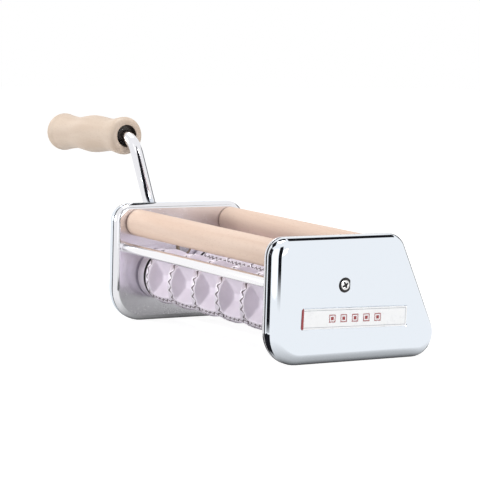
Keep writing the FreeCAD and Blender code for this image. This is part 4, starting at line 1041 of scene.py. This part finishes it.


# Grip. Turned beech under a thin matt lacquer, with a rounded collar, a waist, a belly and a ball
# end. It turns on a steel sleeve that shows in its open mouth; the mouth's wall and floor are
# painted near-black as shade.
def arc_between(start, finish, radius, steps):
    """Points of a short arc that bulges away from the axis, its last point left out."""
    a = Vector(start)
    b = Vector(finish)
    chord = b - a
    outward = Vector((-chord.y, chord.x)).normalized()
    if outward.y < 0:
        outward = -outward
    reach = max(radius, chord.length / 2 + 1e-6)
    centre = (a + b) / 2 - outward * math.sqrt(reach ** 2 - (chord.length / 2) ** 2)
    first = a - centre
    last = b - centre
    sweep = first.angle(last)
    return [centre + (first * math.sin((1 - t) * sweep) + last * math.sin(t * sweep)) / math.sin(sweep)
            for t in (step / steps for step in range(steps))]


def smooth_curve(points, steps):
    """Points of a smooth curve through stations, with level peaks and hollows."""
    curve = []
    for (x0, r0), (x1, r1) in zip(points, points[1:]):
        for step in range(steps):
            t = step / steps
            curve.append(Vector((x0 + (x1 - x0) * t, r0 + (r1 - r0) * (t * t * (3 - 2 * t)))))
    return curve


grip_length = 123.5
mouth_depth = 6.5
mouth_radius = 9.5
tip_height = 2.2
tip_radius = 11
tip_arc = 32
grip_start = 10
grip_swells = [(grip_start + 4.5, 16.3), (grip_start + 24, 14), (grip_start + 56, 16.3),
               (grip_start + 86, 13.8), (grip_start + 107, 15.5)]
grip_end = grip_start + grip_length
tip_start = (grip_end - tip_height, tip_radius)
grip_profile = [(grip_start + mouth_depth, 5.6), (grip_start + mouth_depth, mouth_radius),
                (grip_start + 0.7, mouth_radius), (grip_start + 0.2, 9.8), (grip_start, 10.4)]
grip_profile += [tuple(p) for p in arc_between((grip_start, 12.3), grip_swells[0], 5, 8)]
grip_profile += [tuple(p) for p in smooth_curve(grip_swells, 12)]
grip_profile += [tuple(p) for p in arc_between(grip_swells[-1], tip_start, tip_radius, 12)]
grip_profile += [tuple(p) for p in arc_between(tip_start, (grip_end, 0), tip_arc, 8)]
grip_profile.append((grip_end, 0))
grip_beech = beech("grip_beech", (0.66, 0.54, 0.44), (0.59, 0.465, 0.365), (0.44, 0.32, 0.23), 0.2)
# Near-black beech for the mouth's wall and floor: painted shade
grip_mouth_shade = beech("grip_mouth_shade", (0.05, 0.035, 0.025), (0.03, 0.022, 0.018), (0.02, 0.015, 0.012),
                   0.3)
grip = turned_piece("turned_grip", grip_profile, crank_corner, leg_way, steps=72, sharp=50)
grip.data.materials.append(grip_beech)
grip.data.materials.append(grip_mouth_shade)
# Faces of the open mouth take the painted shade
for polygon in grip.data.polygons:
    offset = polygon.center / mm - crank_corner
    distance = offset.dot(leg_way)
    in_mouth = (offset - leg_way * distance).length < mouth_radius + 0.1
    if in_mouth and distance < grip_start + mouth_depth + 0.5:
        polygon.material_index = 1
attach(grip, "grip")
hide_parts("grip")


# Steel pieces inside and behind: shafts, sleeve, pins, rings, gears, posts, nuts and rivets, with
# bronze bushes and the folded coupling plate. Their solids already have the real shapes.
turned_steel = satin_metal("turned_steel", (0.56, 0.56, 0.58), (0.48, 0.48, 0.5), 0.22, 0.34, 1.0, 0.08)
greased_steel = satin_metal("greased_steel", (0.34, 0.33, 0.33), (0.24, 0.23, 0.22), 0.25, 0.42, 1.0,
                            0.12)
zinc_steel = satin_metal("zinc_steel", (0.62, 0.63, 0.66), (0.52, 0.53, 0.56), 0.25, 0.4, 1.0, 0.1)
coupling_steel = satin_metal("coupling_steel", (0.7, 0.7, 0.72), (0.62, 0.62, 0.64), 0.16, 0.26, 1.0,
                             0.06)
bush_bronze = satin_metal("bush_bronze", (0.34, 0.28, 0.2), (0.24, 0.2, 0.15), 0.35, 0.5, 1.0, 0.1)
finishes = {"shaft_steel": turned_steel, "sleeve_steel": turned_steel, "gear_steel": greased_steel,
            "zinc_steel": zinc_steel, "coupling_steel": coupling_steel, "bush_brass": bush_bronze}
for entry in frame["record"]["subparts"]:
    solid = frame["nodes"][entry["node"]]
    finish = finishes.get(entry["material_slot"])
    if finish and not solid.hide_render:
        for material_slot in solid.material_slots:
            material_slot.material = finish
